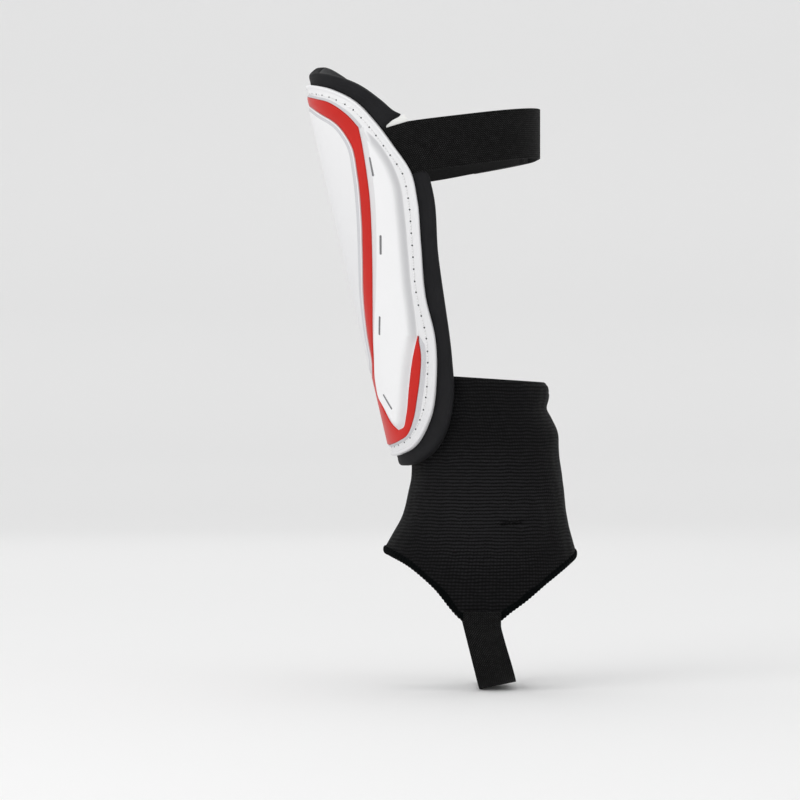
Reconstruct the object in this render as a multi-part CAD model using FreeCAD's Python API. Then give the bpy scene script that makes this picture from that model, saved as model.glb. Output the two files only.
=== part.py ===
import FreeCAD, Part
import math
import os

# Football shin guard with an ankle sleeve, worn on a left or right lower leg.
# Frame: +Z up the leg, the shin faces -Y, X runs across. The origin is the ankle joint's centre.
# Every soft or moulded layer is a skin laid round the leg: a place on it is an angle round the leg,
# in degrees from the shin's ridge, a height, and a distance out from the guard's inner face.

V = FreeCAD.Vector
V2 = FreeCAD.Base.Vector2d

# ---------------------------------------------------------------- driving dimensions, in mm and degrees
guard_bottom = 28.0          # lowest point of the shell's edge
guard_height = 230.5         # shell, from its lowest to its highest point
guard_lean = 0.2327          # how far the ridge goes forward for each mm up
ridge_y = -57.7              # ridge of the shell at the height guard_bottom
shell_half_width = 48.5      # half the shell's width at the height guard_bottom
shell_flare = 0.04           # how much that grows for each mm up
shell_depth = 54.8           # ridge to the middle of the leg at the height guard_bottom
depth_flare = 0.05           # how much that grows for each mm up
calf_back_y = 32.5           # back of the calf

lining = 0.8                 # brushed lining on the foam
foam = 6.0                   # foam backing
shell_wall = 2.6             # moulded shell at its flange
inlay = 1.4                  # height of the red inlay above the flange
panel_rise = 2.2             # height of the centre panel above the flange
flank_rise = 2.4             # height of the flank panels above the flange
glue_gap = 0.05              # between layers that are bonded
fit_gap = 0.8                # between the guard and the sleeve under it
move_gap = 0.4               # between pieces that move on each other

vent_length = 12.0
vent_width = 1.6
stitch_pitch = 7.3
stitch_length = 5.2
stitch_radius = 0.4
stitch_inset = 4.8           # row of stitches in from the shell's edge

strap_width = 31.0
strap_thick = 1.5
strap_place = 0.8221         # share of the guard's height where the strap's middle leaves the foam
strap_middle = guard_bottom + strap_place * guard_height
strap_tilt = 0.153           # how far the strap rises for each mm towards the back
strap_lift = 0.5             # strap off the calf
strap_sink = 0.25            # how far the sewn strap ends lie below the foam's face
tuck_angle = 56.0            # where both strap ends are sewn under the shell
foam_side_angle = 88.0       # where the strap leaves the foam's side
calf_contact = 62.0          # degrees each side of the calf's middle where the strap lies on it
step_angle = 188.0           # where the strap starts to rise over the loop-faced strap
tab_angle = 206.0            # where the hook tab starts, going round from the near side
tab_end_angle = 245.0
loop_end_angle = 212.0       # free end of the loop-faced strap under the tab

sleeve_wall = 1.5
sleeve_top = 76.0            # middle height of the sleeve's top edge
sleeve_top_slope = 3.0       # front higher, back lower
hem_height = 6.0
hem_thick = 0.6
edging_width = 5.0
edging_thick = 2.9
edging_gap = 0.15            # between the edging and the knit that it is sewn to
tongue_bottom = -77.0        # lowest point of the sleeve, at both sides
tongue_half_width = 34.2
tongue_taper = 0.2           # how much narrower the sleeve's form is below its end

disc_radius = 20.0
disc_thick = 3.0
disc_angle = 102.0
disc_height = -10.0
pocket_margin = 4.0
pocket_thick = 0.6

stirrup_width = 23.0
stirrup_thick = 1.5
stirrup_top = -68.0
stirrup_bottom = -117.0
stirrup_corner = 22.0
stirrup_middle = -2.5        # middle of the stirrup's width where it is sewn
stirrup_slant = 0.25         # how far it runs back for each mm down, below the sleeve

label_angles = (71.0, 79.5)
label_foot = -5.5            # label's lower end, from the strap's middle
label_tops = (11.9, 17.5)    # its slanted upper end, at both angles
label_thick = 0.3

seam_height = 34.0           # row of stitches that holds the guard on the sleeve
seam_angle = 36.0            # how far it goes to each side
seam_pitch = 6.0
thread_gap = 0.2             # between a thread and the layer that it is sewn to
tab_stitch_angle = 5.0       # row of stitches in from the tab's start
tab_stitch_count = 5
stirrup_stitch_rows = (2.5, 8.0)
stirrup_stitch_count = 3
tongue_tuck = 4.0            # degrees that the sleeve's tongue runs in behind the edging's ends

# how far the forms run past the pieces on them, in mm or degrees
cut_through = 1.0
guard_form_angle = 100.0
guard_form_low = 22.0
guard_form_share = 1.12
strap_form_past = 2.0
strap_form_past_side = 6.0
strap_form_half = 0.5 * strap_width + 2.5
strap_pocket_past = 1.0
strap_pocket_past_side = 4.0
sleeve_form_low = 6.0
sleeve_form_top = 8.0
heel_form_angle = 95.0
heel_form_top = 10.0
stirrup_form_past = 2.0
full_turn = 360.0
walk_samples = 600
oval_points = 12

# ---------------------------------------------------------------- layers out from the guard's inner face
foam_face = lining + foam
shell_face = foam_face + glue_gap + shell_wall
strap_seat = foam_face - strap_sink - strap_thick
label_seat = strap_seat - glue_gap - label_thick

# ---------------------------------------------------------------- outlines: angle, share of guard_height
shell_edge = [(0, 1.000), (22, 0.993), (39, 0.976), (54, 0.941), (64, 0.885), (72, 0.820), (79, 0.750),
              (80, 0.686), (77.5, 0.564), (74, 0.421), (75, 0.312), (71, 0.217), (60, 0.100), (44, 0.030),
              (22, 0.003), (0, 0.000)]
foam_top = [(0, 1.032), (24, 1.027), (40, 1.013), (56, 0.985), (68, 0.944), (75.5, 0.913), (79, 0.906)]
foam_top_far = [(0, 1.032), (12, 1.045), (27, 1.062), (42, 1.045), (57, 1.000), (68, 0.952), (79, 0.906)]
foam_notch = [(79, 0.906), (68.6, 0.873)]
foam_notch_low = [(68.6, 0.873), (89, 0.742)]
foam_side = [(89, 0.742), (90, 0.686), (86.5, 0.540), (85, 0.386), (84.5, 0.325), (83, 0.258),
             (77, 0.150), (65, 0.055), (54, 0.014), (38, -0.014), (18, -0.026), (0, -0.028)]
panel_edge = [(0, 0.945), (24, 0.916), (39.5, 0.878), (46, 0.828), (46, 0.748), (43, 0.660), (33.5, 0.513),
              (25, 0.418), (17.5, 0.317), (13, 0.241), (0, 0.213)]
red_top = [(0, 0.972), (22, 0.957), (37, 0.940), (49, 0.901), (53.8, 0.872)]
red_side = [(53.8, 0.872), (53.8, 0.838), (53, 0.768), (51, 0.682), (47, 0.594), (34, 0.406), (21, 0.278),
            (12.5, 0.200), (11.5, 0.154), (17.6, 0.120), (25, 0.085), (31.5, 0.069), (38, 0.078),
            (43, 0.111), (50, 0.182), (57, 0.256), (64, 0.320)]
red_low = [(64, 0.320), (63.8, 0.277), (60, 0.213), (55, 0.158), (48, 0.097), (40, 0.057), (29, 0.040),
           (14, 0.030), (0, 0.028)]
flank_inner = [(60, 0.855), (57.2, 0.820), (56.2, 0.740), (53.6, 0.664), (49.5, 0.572), (37.5, 0.406),
               (25.5, 0.278), (18.0, 0.200), (17.5, 0.164), (23, 0.128), (31, 0.096)]
flank_outer = [(31, 0.096), (37, 0.100), (41.5, 0.128), (48, 0.192), (55, 0.266), (61, 0.330), (64.5, 0.370),
               (65.5, 0.440), (67.2, 0.540), (69.0, 0.640), (69.3, 0.720), (66, 0.790), (60, 0.855)]
# vents along the flank ridge: (angle, share of the height, slant in degrees from upright)
vents = [(60.2, 0.766, 0.0), (56.0, 0.560, 14.0), (42.0, 0.347, 20.0), (29.5, 0.144, -32.0)]

# lower edge of the sleeve: (angle, height)
instep_edge = [(0, -33.0), (22, -34.8), (45, -41.0), (64, -53.5), (79, -72.0)]
heel_edge = [(103, -72.0), (116, -62.0), (132, -50.5), (155, -40.0), (180, -35.0)]
# ankle: (height, middle y, front y, back y, half width), top to bottom
ankle_stations = [(0.0, 0.0, -49.0, 49.0, 38.0), (-12.0, 0.0, -52.8, 51.3, 40.0),
                  (-25.0, -1.0, -60.0, 54.8, 39.4), (-38.0, -2.0, -66.5, 58.0, 37.0),
                  (-60.0, -3.0, -74.0, 60.0, tongue_half_width),
                  (-84.0, -3.0, -78.0, 61.0, tongue_half_width - tongue_taper)]
leg_station_heights = (88.0, 72.0, 58.0, 40.0, 20.0)
leg_station_backs = (38.0, 38.0, 39.0, 44.3, 46.5)


# ---------------------------------------------------------------- the leg form
def leg_form(z):
    """Middle, front depth, back depth and half width of the guard's inner face at a height."""
    up = z - guard_bottom
    depth = shell_depth + depth_flare * up
    middle = ridge_y - guard_lean * up + depth
    inner = depth - shell_face
    return middle, inner, calf_back_y - middle, shell_half_width + shell_flare * up - shell_face


def guard_point(angle, z, out):
    """A place on the guard or the calf strap."""
    middle, front, back, half = leg_form(z)
    turn = math.radians(angle)
    reach = front if math.cos(turn) > 0 else back
    return V((half + out) * math.sin(turn), middle - (reach + out) * math.cos(turn), z)


def sleeve_stations():
    rows = []
    for z, back in zip(leg_station_heights, leg_station_backs):
        middle, front, _, half = leg_form(z)
        rows.append((z, middle, middle - front + fit_gap, back, half - fit_gap))
    return rows + ankle_stations


def along_stations(rows, z):
    """Smooth values between the stations (Catmull-Rom)."""
    last = len(rows) - 2
    i = 0
    while i < last and z < rows[i + 1][0]:
        i += 1
    before = rows[max(i - 1, 0)]
    after = rows[min(i + 2, len(rows) - 1)]
    upper, lower = rows[i], rows[i + 1]
    t = (z - upper[0]) / (lower[0] - upper[0])
    values = []
    for k in range(1, 5):
        m0 = (lower[k] - before[k]) * (upper[0] - lower[0]) / (before[0] - lower[0])
        m1 = (after[k] - upper[k]) * (upper[0] - lower[0]) / (upper[0] - after[0])
        h = 2 * t ** 3 - 3 * t ** 2 + 1
        swing = (t ** 3 - 2 * t ** 2 + t) * m0 + (t ** 3 - t ** 2) * m1
        values.append(h * upper[k] + (1 - h) * lower[k] + swing)
    return values


stations = sleeve_stations()


def sleeve_point(angle, z, out):
    """A place on the sleeve; out is 0 at its outer face."""
    middle, front, back, half = along_stations(stations, z)
    turn = math.radians(angle)
    reach = middle - front if math.cos(turn) > 0 else back - middle
    return V((half + out) * math.sin(turn), middle - (reach + out) * math.cos(turn), z)


# ---------------------------------------------------------------- skins: plates that follow a form
def knot_row(low, high, spans):
    return [low + (high - low) * i / spans for i in range(spans + 1)]


def pole_row(knots):
    full = [knots[0]] * 3 + list(knots) + [knots[-1]] * 3
    return [sum(full[i + 1:i + 4]) / 3.0 for i in range(len(full) - 4)]


class Form:
    """A family of parallel cubic surfaces over a rectangle of two coordinates."""

    def __init__(self, point, u_range, u_spans, v_range, v_spans):
        self.point = point
        self.u_knots = knot_row(u_range[0], u_range[1], u_spans)
        self.v_knots = knot_row(v_range[0], v_range[1], v_spans)
        self.made = {}

    def surface(self, out):
        key = round(out, 4)
        if key not in self.made:
            poles = [[self.point(u, v, out) for v in pole_row(self.v_knots)] for u in pole_row(self.u_knots)]
            made = Part.BSplineSurface()
            mult_u = [4] + [1] * (len(self.u_knots) - 2) + [4]
            mult_v = [4] + [1] * (len(self.v_knots) - 2) + [4]
            made.buildFromPolesMultsKnots(poles, mult_u, mult_v, self.u_knots, self.v_knots,
                                          False, False, 3, 3)
            self.made[key] = made
        return self.made[key]


def curve(points):
    """A smooth line in a form's two coordinates, or a straight one between two points."""
    if len(points) == 2:
        return Part.Geom2d.Line2dSegment(V2(*points[0]), V2(*points[1]))
    line = Part.Geom2d.BSplineCurve2d()
    line.interpolate(Points=[V2(*p) for p in points])
    return line


def closed_curve(points):
    line = Part.Geom2d.BSplineCurve2d()
    line.interpolate(Points=[V2(*p) for p in points], PeriodicFlag=True)
    return line


def skin(form, loop, low, high):
    """Closed plate between two distances out, inside a loop of curves."""
    faces = []
    for out in (low, high):
        edges = [line.toShape(form.surface(out)) for line in loop]
        face = Part.Face(form.surface(out), Part.Wire(edges))
        face.validate()
        faces.append(face)
    for line in loop:
        faces.append(Part.makeRuledSurface(line.toShape(form.surface(low)), line.toShape(form.surface(high))))
    return closed_solid(faces)


def closed_solid(faces):
    shell = Part.Shell(faces)
    shell.sewShape()
    solid = Part.Solid(shell)
    if solid.Volume < 0:
        solid.reverse()
    return solid


def patch(form, u_range, v_range, low, high):
    """A rectangular plate; its long edges are in two halves, so that a U-shaped one stays in order."""
    middle = 0.5 * (u_range[0] + u_range[1])
    corners = [(u_range[0], v_range[0]), (middle, v_range[0]), (u_range[1], v_range[0]),
               (u_range[1], v_range[1]), (middle, v_range[1]), (u_range[0], v_range[1])]
    return skin(form, polygon(corners), low, high)


def polygon(corners):
    return [curve([corners[i - 1], corners[i]]) for i in range(len(corners))]


def export(name, solids):
    shape = Part.makeCompound(solids) if len(solids) > 1 else solids[0]
    shape.exportStep("parts/" + name + ".step")


def heights(points):
    """Outline shares turned into heights."""
    return [(angle, guard_bottom + share * guard_height) for angle, share in points]


def mirrored(points):
    return [(-angle, z) for angle, z in reversed(points)]


def both_sides(points):
    """Closed smooth outline from one side's points, which start and end on the centre line."""
    return [closed_curve(points + mirrored(points)[1:-1])]


def turned(points, side):
    return [(side * angle, z) for angle, z in points]


# ---------------------------------------------------------------- guard
guard_form_heights = (guard_bottom - guard_form_low, guard_bottom + guard_form_share * guard_height)
guard_form = Form(guard_point, (-guard_form_angle, guard_form_angle), 40, guard_form_heights, 12)


def foam_loop():
    near = [heights(foam_top), heights(foam_notch), heights(foam_notch_low)]
    far = [heights(foam_top_far), heights(foam_notch), heights(foam_notch_low)]
    side = heights(foam_side)
    loop = [curve(line) for line in near]
    loop.append(curve(side + mirrored(side)[1:]))
    loop += [curve(mirrored(line)) for line in reversed(far)]
    return loop


def ease(share):
    t = min(max(share, 0.0), 1.0)
    return t * t * (3.0 - 2.0 * t)


def strap_height(angle):
    """Height of the strap's middle: it rises towards the back."""
    start = guard_point(foam_side_angle, strap_middle, 0.0).y
    return strap_middle + strap_tilt * (guard_point(angle, strap_middle, 0.0).y - start)


def strap_base(angle):
    """How far out the strap lies: let into the foam at both sides, near the calf behind."""
    side_span = 180.0 - foam_side_angle - calf_contact
    return strap_lift + (strap_seat - strap_lift) * ease((abs(180.0 - angle) - calf_contact) / side_span)


def strap_point(angle, across, out):
    return guard_point(angle, strap_height(angle) + across, strap_base(angle) + out)


def hooked_point(angle, across, out):
    """The strap's far end and its tab, which lie on the loop-faced strap."""
    step = (strap_thick + move_gap) * ease((angle - step_angle) / (tab_angle - step_angle))
    return strap_point(angle, across, out + step)


def mm_per_degree(point, angle, z):
    return point(angle + 0.5, z, 0.0).distanceToPoint(point(angle - 0.5, z, 0.0))


def oval(point, angle, z, length, width, slant):
    """Closed curve round a place: length runs up, leaning back by slant degrees."""
    scale = mm_per_degree(point, angle, z)
    lean = math.radians(slant)
    points = []
    for i in range(oval_points):
        turn = 2.0 * math.pi * i / oval_points
        along = 0.5 * length * math.cos(turn)
        side = 0.5 * width * math.sin(turn)
        points.append((angle + (side * math.cos(lean) + along * math.sin(lean)) / scale,
                       z + along * math.cos(lean) - side * math.sin(lean)))
    return closed_curve(points)


def inset_walk(line, point, out, inset, pitch):
    """Places at an even pitch along a closed outline, a set distance inside it."""
    row = []
    step = (line.LastParameter - line.FirstParameter) / walk_samples
    for i in range(walk_samples):
        here = line.value(line.FirstParameter + step * i)
        after = line.value(line.FirstParameter + step * (i + 1))
        scale = mm_per_degree(point, here.x, here.y)
        run = math.hypot((after.x - here.x) * scale, after.y - here.y)
        side = ((after.y - here.y) / run, -(after.x - here.x) * scale / run)
        row.append(point(here.x + side[0] * inset / scale, here.y + side[1] * inset, out))
    total = sum(row[i].distanceToPoint(row[i - 1]) for i in range(walk_samples))
    count = round(total / pitch)
    places = []
    gone = 0.0
    for i in range(walk_samples):
        if gone >= len(places) * total / count:
            places.append((row[i], row[(i + 1) % walk_samples] - row[i - 1]))
        gone += row[(i + 1) % walk_samples].distanceToPoint(row[i])
    return places


def thread(middle, direction):
    unit = V(direction).normalize()
    return Part.makeCylinder(stitch_radius, stitch_length, middle - unit * (0.5 * stitch_length), unit)


# ---------------------------------------------------------------- guard pieces
def make_foam():
    plate = skin(guard_form, foam_loop(), lining + glue_gap, foam_face)
    room = strap_thick + cut_through
    floor = label_seat - glue_gap - strap_seat
    half = 0.5 * strap_width + move_gap
    start = tuck_angle - strap_pocket_past
    end = foam_side_angle + strap_pocket_past_side
    far = (full_turn - end, full_turn - start)
    for form, span in ((near_strap_form, (start, end)), (far_strap_form, far)):
        plate = plate.cut(patch(form, span, (-half, half), floor, room))
    return plate


def make_lining():
    return skin(guard_form, foam_loop(), 0.0, lining)


def flank_loop(side):
    inner = turned(heights(flank_inner), side)
    outer = turned(heights(flank_outer), side)
    return [curve(inner), curve(outer)]


def make_shell():
    plate = skin(guard_form, both_sides(heights(shell_edge)), foam_face + glue_gap, shell_face)
    root = shell_face - 0.5 * shell_wall
    plate = plate.fuse(skin(guard_form, both_sides(heights(panel_edge)), root, shell_face + panel_rise))
    for side in (1, -1):
        plate = plate.fuse(skin(guard_form, flank_loop(side), root, shell_face + flank_rise))
    for side in (1, -1):
        for angle, share, slant in vents:
            z = guard_bottom + share * guard_height
            slot = oval(guard_point, side * angle, z, vent_length, vent_width, side * slant)
            tool = skin(guard_form, [slot], foam_face - cut_through, shell_face + flank_rise + cut_through)
            plate = plate.cut(tool)
    return plate


def make_red_inlay():
    near = [heights(red_top), heights(red_side), heights(red_low)]
    top = mirrored(near[0])[:-1] + near[0]
    bottom = near[2] + mirrored(near[2])[1:]
    loop = [curve(top), curve(near[1]), curve(bottom), curve(mirrored(near[1]))]
    low = shell_face + glue_gap
    plate = skin(guard_form, loop, low, low + inlay)
    hole = skin(guard_form, both_sides(heights(panel_edge)), low - cut_through, low + inlay + cut_through)
    return plate.cut(hole)


def make_shell_stitching():
    line = closed_curve(heights(shell_edge) + mirrored(heights(shell_edge))[1:-1])
    out = shell_face + stitch_radius + thread_gap
    return [thread(place, way) for place, way in
            inset_walk(line, guard_point, out, stitch_inset, stitch_pitch)]


def make_label():
    front, back = label_angles
    foot = strap_middle + label_foot
    tops = [(back, strap_middle + label_tops[1]), (front, strap_middle + label_tops[0])]
    return skin(guard_form, polygon([(front, foot), (back, foot)] + tops), label_seat, label_seat + label_thick)


# ---------------------------------------------------------------- calf strap
form_width = (-strap_form_half, strap_form_half)
near_form_angles = (tuck_angle - strap_form_past, foam_side_angle + strap_form_past_side)
far_form_angles = (loop_end_angle - strap_form_past, full_turn - tuck_angle + strap_form_past)
near_strap_form = Form(strap_point, near_form_angles, 8, form_width, 2)
far_strap_form = Form(strap_point, far_form_angles, 30, form_width, 2)
main_strap_form = Form(hooked_point, (foam_side_angle, tab_end_angle + strap_form_past), 40, form_width, 2)
strap_edges = (-0.5 * strap_width, 0.5 * strap_width)


def make_near_anchor():
    return patch(near_strap_form, (tuck_angle, foam_side_angle), strap_edges, 0.0, strap_thick)


def make_loop_strap():
    return patch(far_strap_form, (loop_end_angle, full_turn - tuck_angle), strap_edges, 0.0, strap_thick)


def make_calf_elastic():
    gap = move_gap / mm_per_degree(guard_point, foam_side_angle, strap_middle)
    span = (foam_side_angle + gap, tab_angle - 0.5 * gap)
    return patch(main_strap_form, span, strap_edges, 0.0, strap_thick)


def make_hook_tab():
    gap = move_gap / mm_per_degree(guard_point, foam_side_angle, strap_middle)
    return patch(main_strap_form, (tab_angle + 0.5 * gap, tab_end_angle), strap_edges, 0.0, strap_thick)


def make_tab_stitches():
    """A row of threads across the hook tab."""
    angle = tab_angle + tab_stitch_angle
    out = strap_thick + stitch_radius + thread_gap
    threads = []
    for i in range(tab_stitch_count):
        across = strap_width * ((i + 0.5) / tab_stitch_count - 0.5)
        middle = hooked_point(angle, across, out)
        threads.append(thread(middle, hooked_point(angle, across + 1.0, out) - middle))
    return threads


# ---------------------------------------------------------------- ankle sleeve
sleeve_form_bottom = tongue_bottom - sleeve_form_low
sleeve_form = Form(sleeve_point, (-180.0, 180.0), 72, (sleeve_form_bottom, sleeve_top + sleeve_form_top), 26)
heel_form_angles = (heel_form_angle, full_turn - heel_form_angle)
heel_form = Form(sleeve_point, heel_form_angles, 34, (sleeve_form_bottom, heel_form_top), 14)


def top_line(drop):
    """The sleeve's top edge from the front to the back, lowered by drop."""
    return [(angle, sleeve_top - drop + sleeve_top_slope * math.cos(math.radians(angle)))
            for angle in (0, 30, 60, 90, 120, 150, 180)]


def raised(points, distance):
    """The same line moved up square to itself."""
    moved = []
    for i, (angle, z) in enumerate(points):
        before = points[max(i - 1, 0)]
        after = points[min(i + 1, len(points) - 1)]
        scale = mm_per_degree(sleeve_point, angle, z)
        run = (after[0] - before[0]) * scale
        rise = after[1] - before[1]
        if angle in (0, 180):
            rise = 0.0
        size = math.hypot(run, rise)
        moved.append((angle - rise / size * distance / scale, z + run / size * distance))
    return moved


def tube(top, bottom_lines, low, high):
    """A wall round the leg between a top line and bottom lines, both given for the near side."""
    faces = []
    for side in (1, -1):
        front = curve(turned([top[0], bottom_lines[0][0]], side))
        back = curve(turned([bottom_lines[-1][-1], top[-1]], side))
        rims = [curve(turned(line, side)) for line in bottom_lines]
        crown = curve(turned(list(reversed(top)), side))
        loop = [front] + rims + [back, crown]
        for out in (low, high):
            surface = sleeve_form.surface(out)
            face = Part.Face(surface, Part.Wire([line.toShape(surface) for line in loop]))
            face.validate()
            faces.append(face)
        for line in rims + [crown]:
            inner = line.toShape(sleeve_form.surface(low))
            faces.append(Part.makeRuledSurface(inner, line.toShape(sleeve_form.surface(high))))
    return closed_solid(faces)


def make_sleeve_tube():
    instep = raised(instep_edge, edging_width)
    heel = raised(heel_edge, edging_width)
    foot = [(instep_edge[-1][0] + tongue_tuck, tongue_bottom),
            (heel_edge[0][0] - tongue_tuck, tongue_bottom)]
    bottom = [instep, [instep[-1], foot[0]], foot, [foot[1], heel[0]], heel]
    return tube(top_line(0.0), bottom, -sleeve_wall, 0.0)


def make_top_hem():
    out = -sleeve_wall - glue_gap
    return tube(top_line(0.0), [top_line(hem_height)], out - hem_thick, out)


def edging(form, points):
    """Rolled elastic band along one mouth of the sleeve."""
    upper = raised(points, edging_width - edging_gap)
    if points[0][0] == 0:
        halves = [(mirrored(points), mirrored(upper)), (points, upper)]
    else:
        halves = [(points, upper), ([(full_turn - angle, z) for angle, z in reversed(points)],
                                    [(full_turn - angle, z) for angle, z in reversed(upper)])]
    (low_a, high_a), (low_b, high_b) = halves
    loop = [curve(low_a), curve(low_b), curve([low_b[-1], high_b[-1]]), curve(high_b[::-1]),
            curve(high_a[::-1]), curve([high_a[0], low_a[0]])]
    inner = -0.5 * (sleeve_wall + edging_thick)
    return skin(form, loop, inner, inner + edging_thick)


def disc_loop(side, radius):
    return [oval(sleeve_point, side * disc_angle, disc_height, 2.0 * radius, 2.0 * radius, 0.0)]


def make_disc(side):
    out = -sleeve_wall - glue_gap
    return skin(sleeve_form, disc_loop(side, disc_radius), out - disc_thick, out)


def make_pocket(side):
    """Knit cover that holds a disc against the sleeve's inner face."""
    out = -sleeve_wall - glue_gap
    floor = out - disc_thick - glue_gap
    cover = skin(sleeve_form, disc_loop(side, disc_radius + pocket_margin), floor - pocket_thick, out)
    room = skin(sleeve_form, disc_loop(side, disc_radius + glue_gap), floor, out + cut_through)
    return cover.cut(room)


def make_seam_stitches():
    out = -sleeve_wall - stitch_radius - thread_gap
    step = seam_pitch / mm_per_degree(sleeve_point, 0.0, seam_height)
    count = int(seam_angle / step)
    threads = []
    for i in range(-count, count + 1):
        middle = sleeve_point(i * step, seam_height, out)
        threads.append(thread(middle, sleeve_point(i * step + 1.0, seam_height, out) - middle))
    return threads


# ---------------------------------------------------------------- stirrup
stirrup_half = tongue_half_width + move_gap
stirrup_flat = stirrup_half - stirrup_corner
stirrup_arc = 0.5 * math.pi * stirrup_corner
stirrup_floor = stirrup_bottom + stirrup_thick
stirrup_rise = stirrup_top - stirrup_floor - stirrup_corner
stirrup_reach = stirrup_flat + stirrup_arc + stirrup_rise


def stirrup_point(along, across, out):
    """along runs from the middle of the sole up to both sewn ends."""
    side = 1.0 if along >= 0.0 else -1.0
    far = abs(along)
    if far <= stirrup_flat:
        x, z = far, stirrup_floor - out
    elif far <= stirrup_flat + stirrup_arc:
        turn = (far - stirrup_flat) / stirrup_corner
        x = stirrup_flat + (stirrup_corner + out) * math.sin(turn)
        z = stirrup_floor + stirrup_corner - (stirrup_corner + out) * math.cos(turn)
    else:
        x, z = stirrup_half + out, stirrup_floor + stirrup_corner + far - stirrup_flat - stirrup_arc
    return V(side * x, stirrup_middle + across + stirrup_slant * max(tongue_bottom - z, 0.0), z)


stirrup_form_reach = stirrup_reach + stirrup_form_past
stirrup_form_width = (-stirrup_width, stirrup_width)
stirrup_form = Form(stirrup_point, (-stirrup_form_reach, stirrup_form_reach), 48, stirrup_form_width, 3)


def make_stirrup():
    edges = (-0.5 * stirrup_width, 0.5 * stirrup_width)
    return patch(stirrup_form, (-stirrup_reach, stirrup_reach), edges, 0.0, stirrup_thick)


def make_stirrup_stitches():
    """Two rows of threads across each sewn end."""
    out = stirrup_thick + stitch_radius + thread_gap
    threads = []
    for side in (1, -1):
        for down in stirrup_stitch_rows:
            for i in range(stirrup_stitch_count):
                across = (i - 0.5 * (stirrup_stitch_count - 1)) * stitch_pitch
                middle = stirrup_point(side * (stirrup_reach - down), across, out)
                threads.append(thread(middle, V(0, 1, 0)))
    return threads


# ---------------------------------------------------------------- the files
os.makedirs("parts", exist_ok=True)
export("shell", [make_shell()])
export("red_inlay", [make_red_inlay()])
export("shell_stitching", make_shell_stitching())
export("foam_backing", [make_foam()])
export("backing_lining", [make_lining()])
export("size_label", [make_label()])
export("calf_strap_anchor", [make_near_anchor()])
export("calf_strap_loop_end", [make_loop_strap()])
export("calf_strap_elastic", [make_calf_elastic()])
export("calf_strap_hook_tab", [make_hook_tab()])
export("hook_tab_stitches", make_tab_stitches())
export("ankle_sleeve", [make_sleeve_tube()])
export("sleeve_top_hem", [make_top_hem()])
export("instep_edging", [edging(sleeve_form, instep_edge)])
export("heel_edging", [edging(heel_form, heel_edge)])
export("ankle_disc_outer", [make_disc(1)])
export("ankle_disc_inner", [make_disc(-1)])
export("disc_pocket_outer", [make_pocket(1)])
export("disc_pocket_inner", [make_pocket(-1)])
export("guard_seam_stitches", make_seam_stitches())
export("stirrup_elastic", [make_stirrup()])
export("stirrup_stitches", make_stirrup_stitches())
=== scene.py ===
import math

import bpy
import numpy as np
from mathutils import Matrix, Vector, noise


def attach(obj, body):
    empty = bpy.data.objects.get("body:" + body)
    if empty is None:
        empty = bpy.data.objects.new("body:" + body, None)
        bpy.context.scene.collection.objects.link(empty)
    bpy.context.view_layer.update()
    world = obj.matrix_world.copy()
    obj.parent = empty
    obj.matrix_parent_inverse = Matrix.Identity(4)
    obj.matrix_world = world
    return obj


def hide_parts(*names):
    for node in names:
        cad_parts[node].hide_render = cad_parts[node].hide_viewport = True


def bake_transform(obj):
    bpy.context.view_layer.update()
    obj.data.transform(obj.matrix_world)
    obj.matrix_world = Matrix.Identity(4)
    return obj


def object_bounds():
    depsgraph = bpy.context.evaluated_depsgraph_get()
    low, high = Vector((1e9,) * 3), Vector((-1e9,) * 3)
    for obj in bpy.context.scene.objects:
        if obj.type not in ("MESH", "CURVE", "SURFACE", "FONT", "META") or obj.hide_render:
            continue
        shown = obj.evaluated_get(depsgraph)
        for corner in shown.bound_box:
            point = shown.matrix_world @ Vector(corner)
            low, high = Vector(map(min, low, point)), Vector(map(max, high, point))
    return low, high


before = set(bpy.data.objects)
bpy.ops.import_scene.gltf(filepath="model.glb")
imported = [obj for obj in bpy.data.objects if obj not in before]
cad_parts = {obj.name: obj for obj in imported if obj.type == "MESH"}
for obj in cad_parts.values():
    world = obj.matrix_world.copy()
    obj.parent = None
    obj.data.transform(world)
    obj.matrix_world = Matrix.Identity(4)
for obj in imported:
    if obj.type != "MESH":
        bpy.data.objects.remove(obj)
cad_low, cad_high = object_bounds()

bl_info = {
    "name": "Shin Guard",
    "version": (1, 0, 0),
    "blender": (4, 5, 0),
    "location": "View3D > Sidebar > Shin Guard",
    "description": "Builds a football shin guard with an ankle sleeve round its packed frame",
    "category": "Object",
}

# Frame: +Z up the leg, the shin faces -Y, X runs across. Lengths below are in millimetres.
# A place on the guard is an angle round the leg from the shin's ridge, a height, and a distance out.
MM = 0.001

# ---- sizes shared with the frame
guard_bottom = 28.0
guard_height = 230.5
guard_lean = 0.2327
ridge_y = -57.7
shell_half_width = 48.5
shell_flare = 0.04
shell_depth = 54.8
depth_flare = 0.05
calf_back_y = 32.5

lining_wall = 0.8
foam_face = 6.8
glue_gap = 0.05
shell_face = 9.45
fit_gap = 0.8
move_gap = 0.4

stitch_pitch = 7.3
stitch_inset = 5.3
vent_length = 12.0
vent_width = 1.6
vent_floor = 2.35
vent_cut = 3.0

strap_width = 31.0
strap_thick = 1.5
strap_middle = 217.5
strap_tilt = 0.153
strap_dive = 0.15
strap_dive_start = 5.0
strap_lift = 0.5
strap_seat = 5.5
tuck_angle = 56.0
foam_side_angle = 88.0
calf_contact = 62.0
step_angle = 188.0
tab_angle = 206.0
tab_end_angle = 245.0
loop_end_angle = 212.0

sleeve_wall = 1.5
sleeve_top = 76.0
sleeve_top_slope = 3.0
sleeve_plain_below = -74.0
hem_height = 6.0
edging_width = 5.0
edging_thick = 2.9
tongue_bottom = -77.0
tongue_half_width = 34.2
disc_radius = 20.0
disc_thick = 3.0
disc_angle = 102.0
disc_height = -10.0

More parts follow.
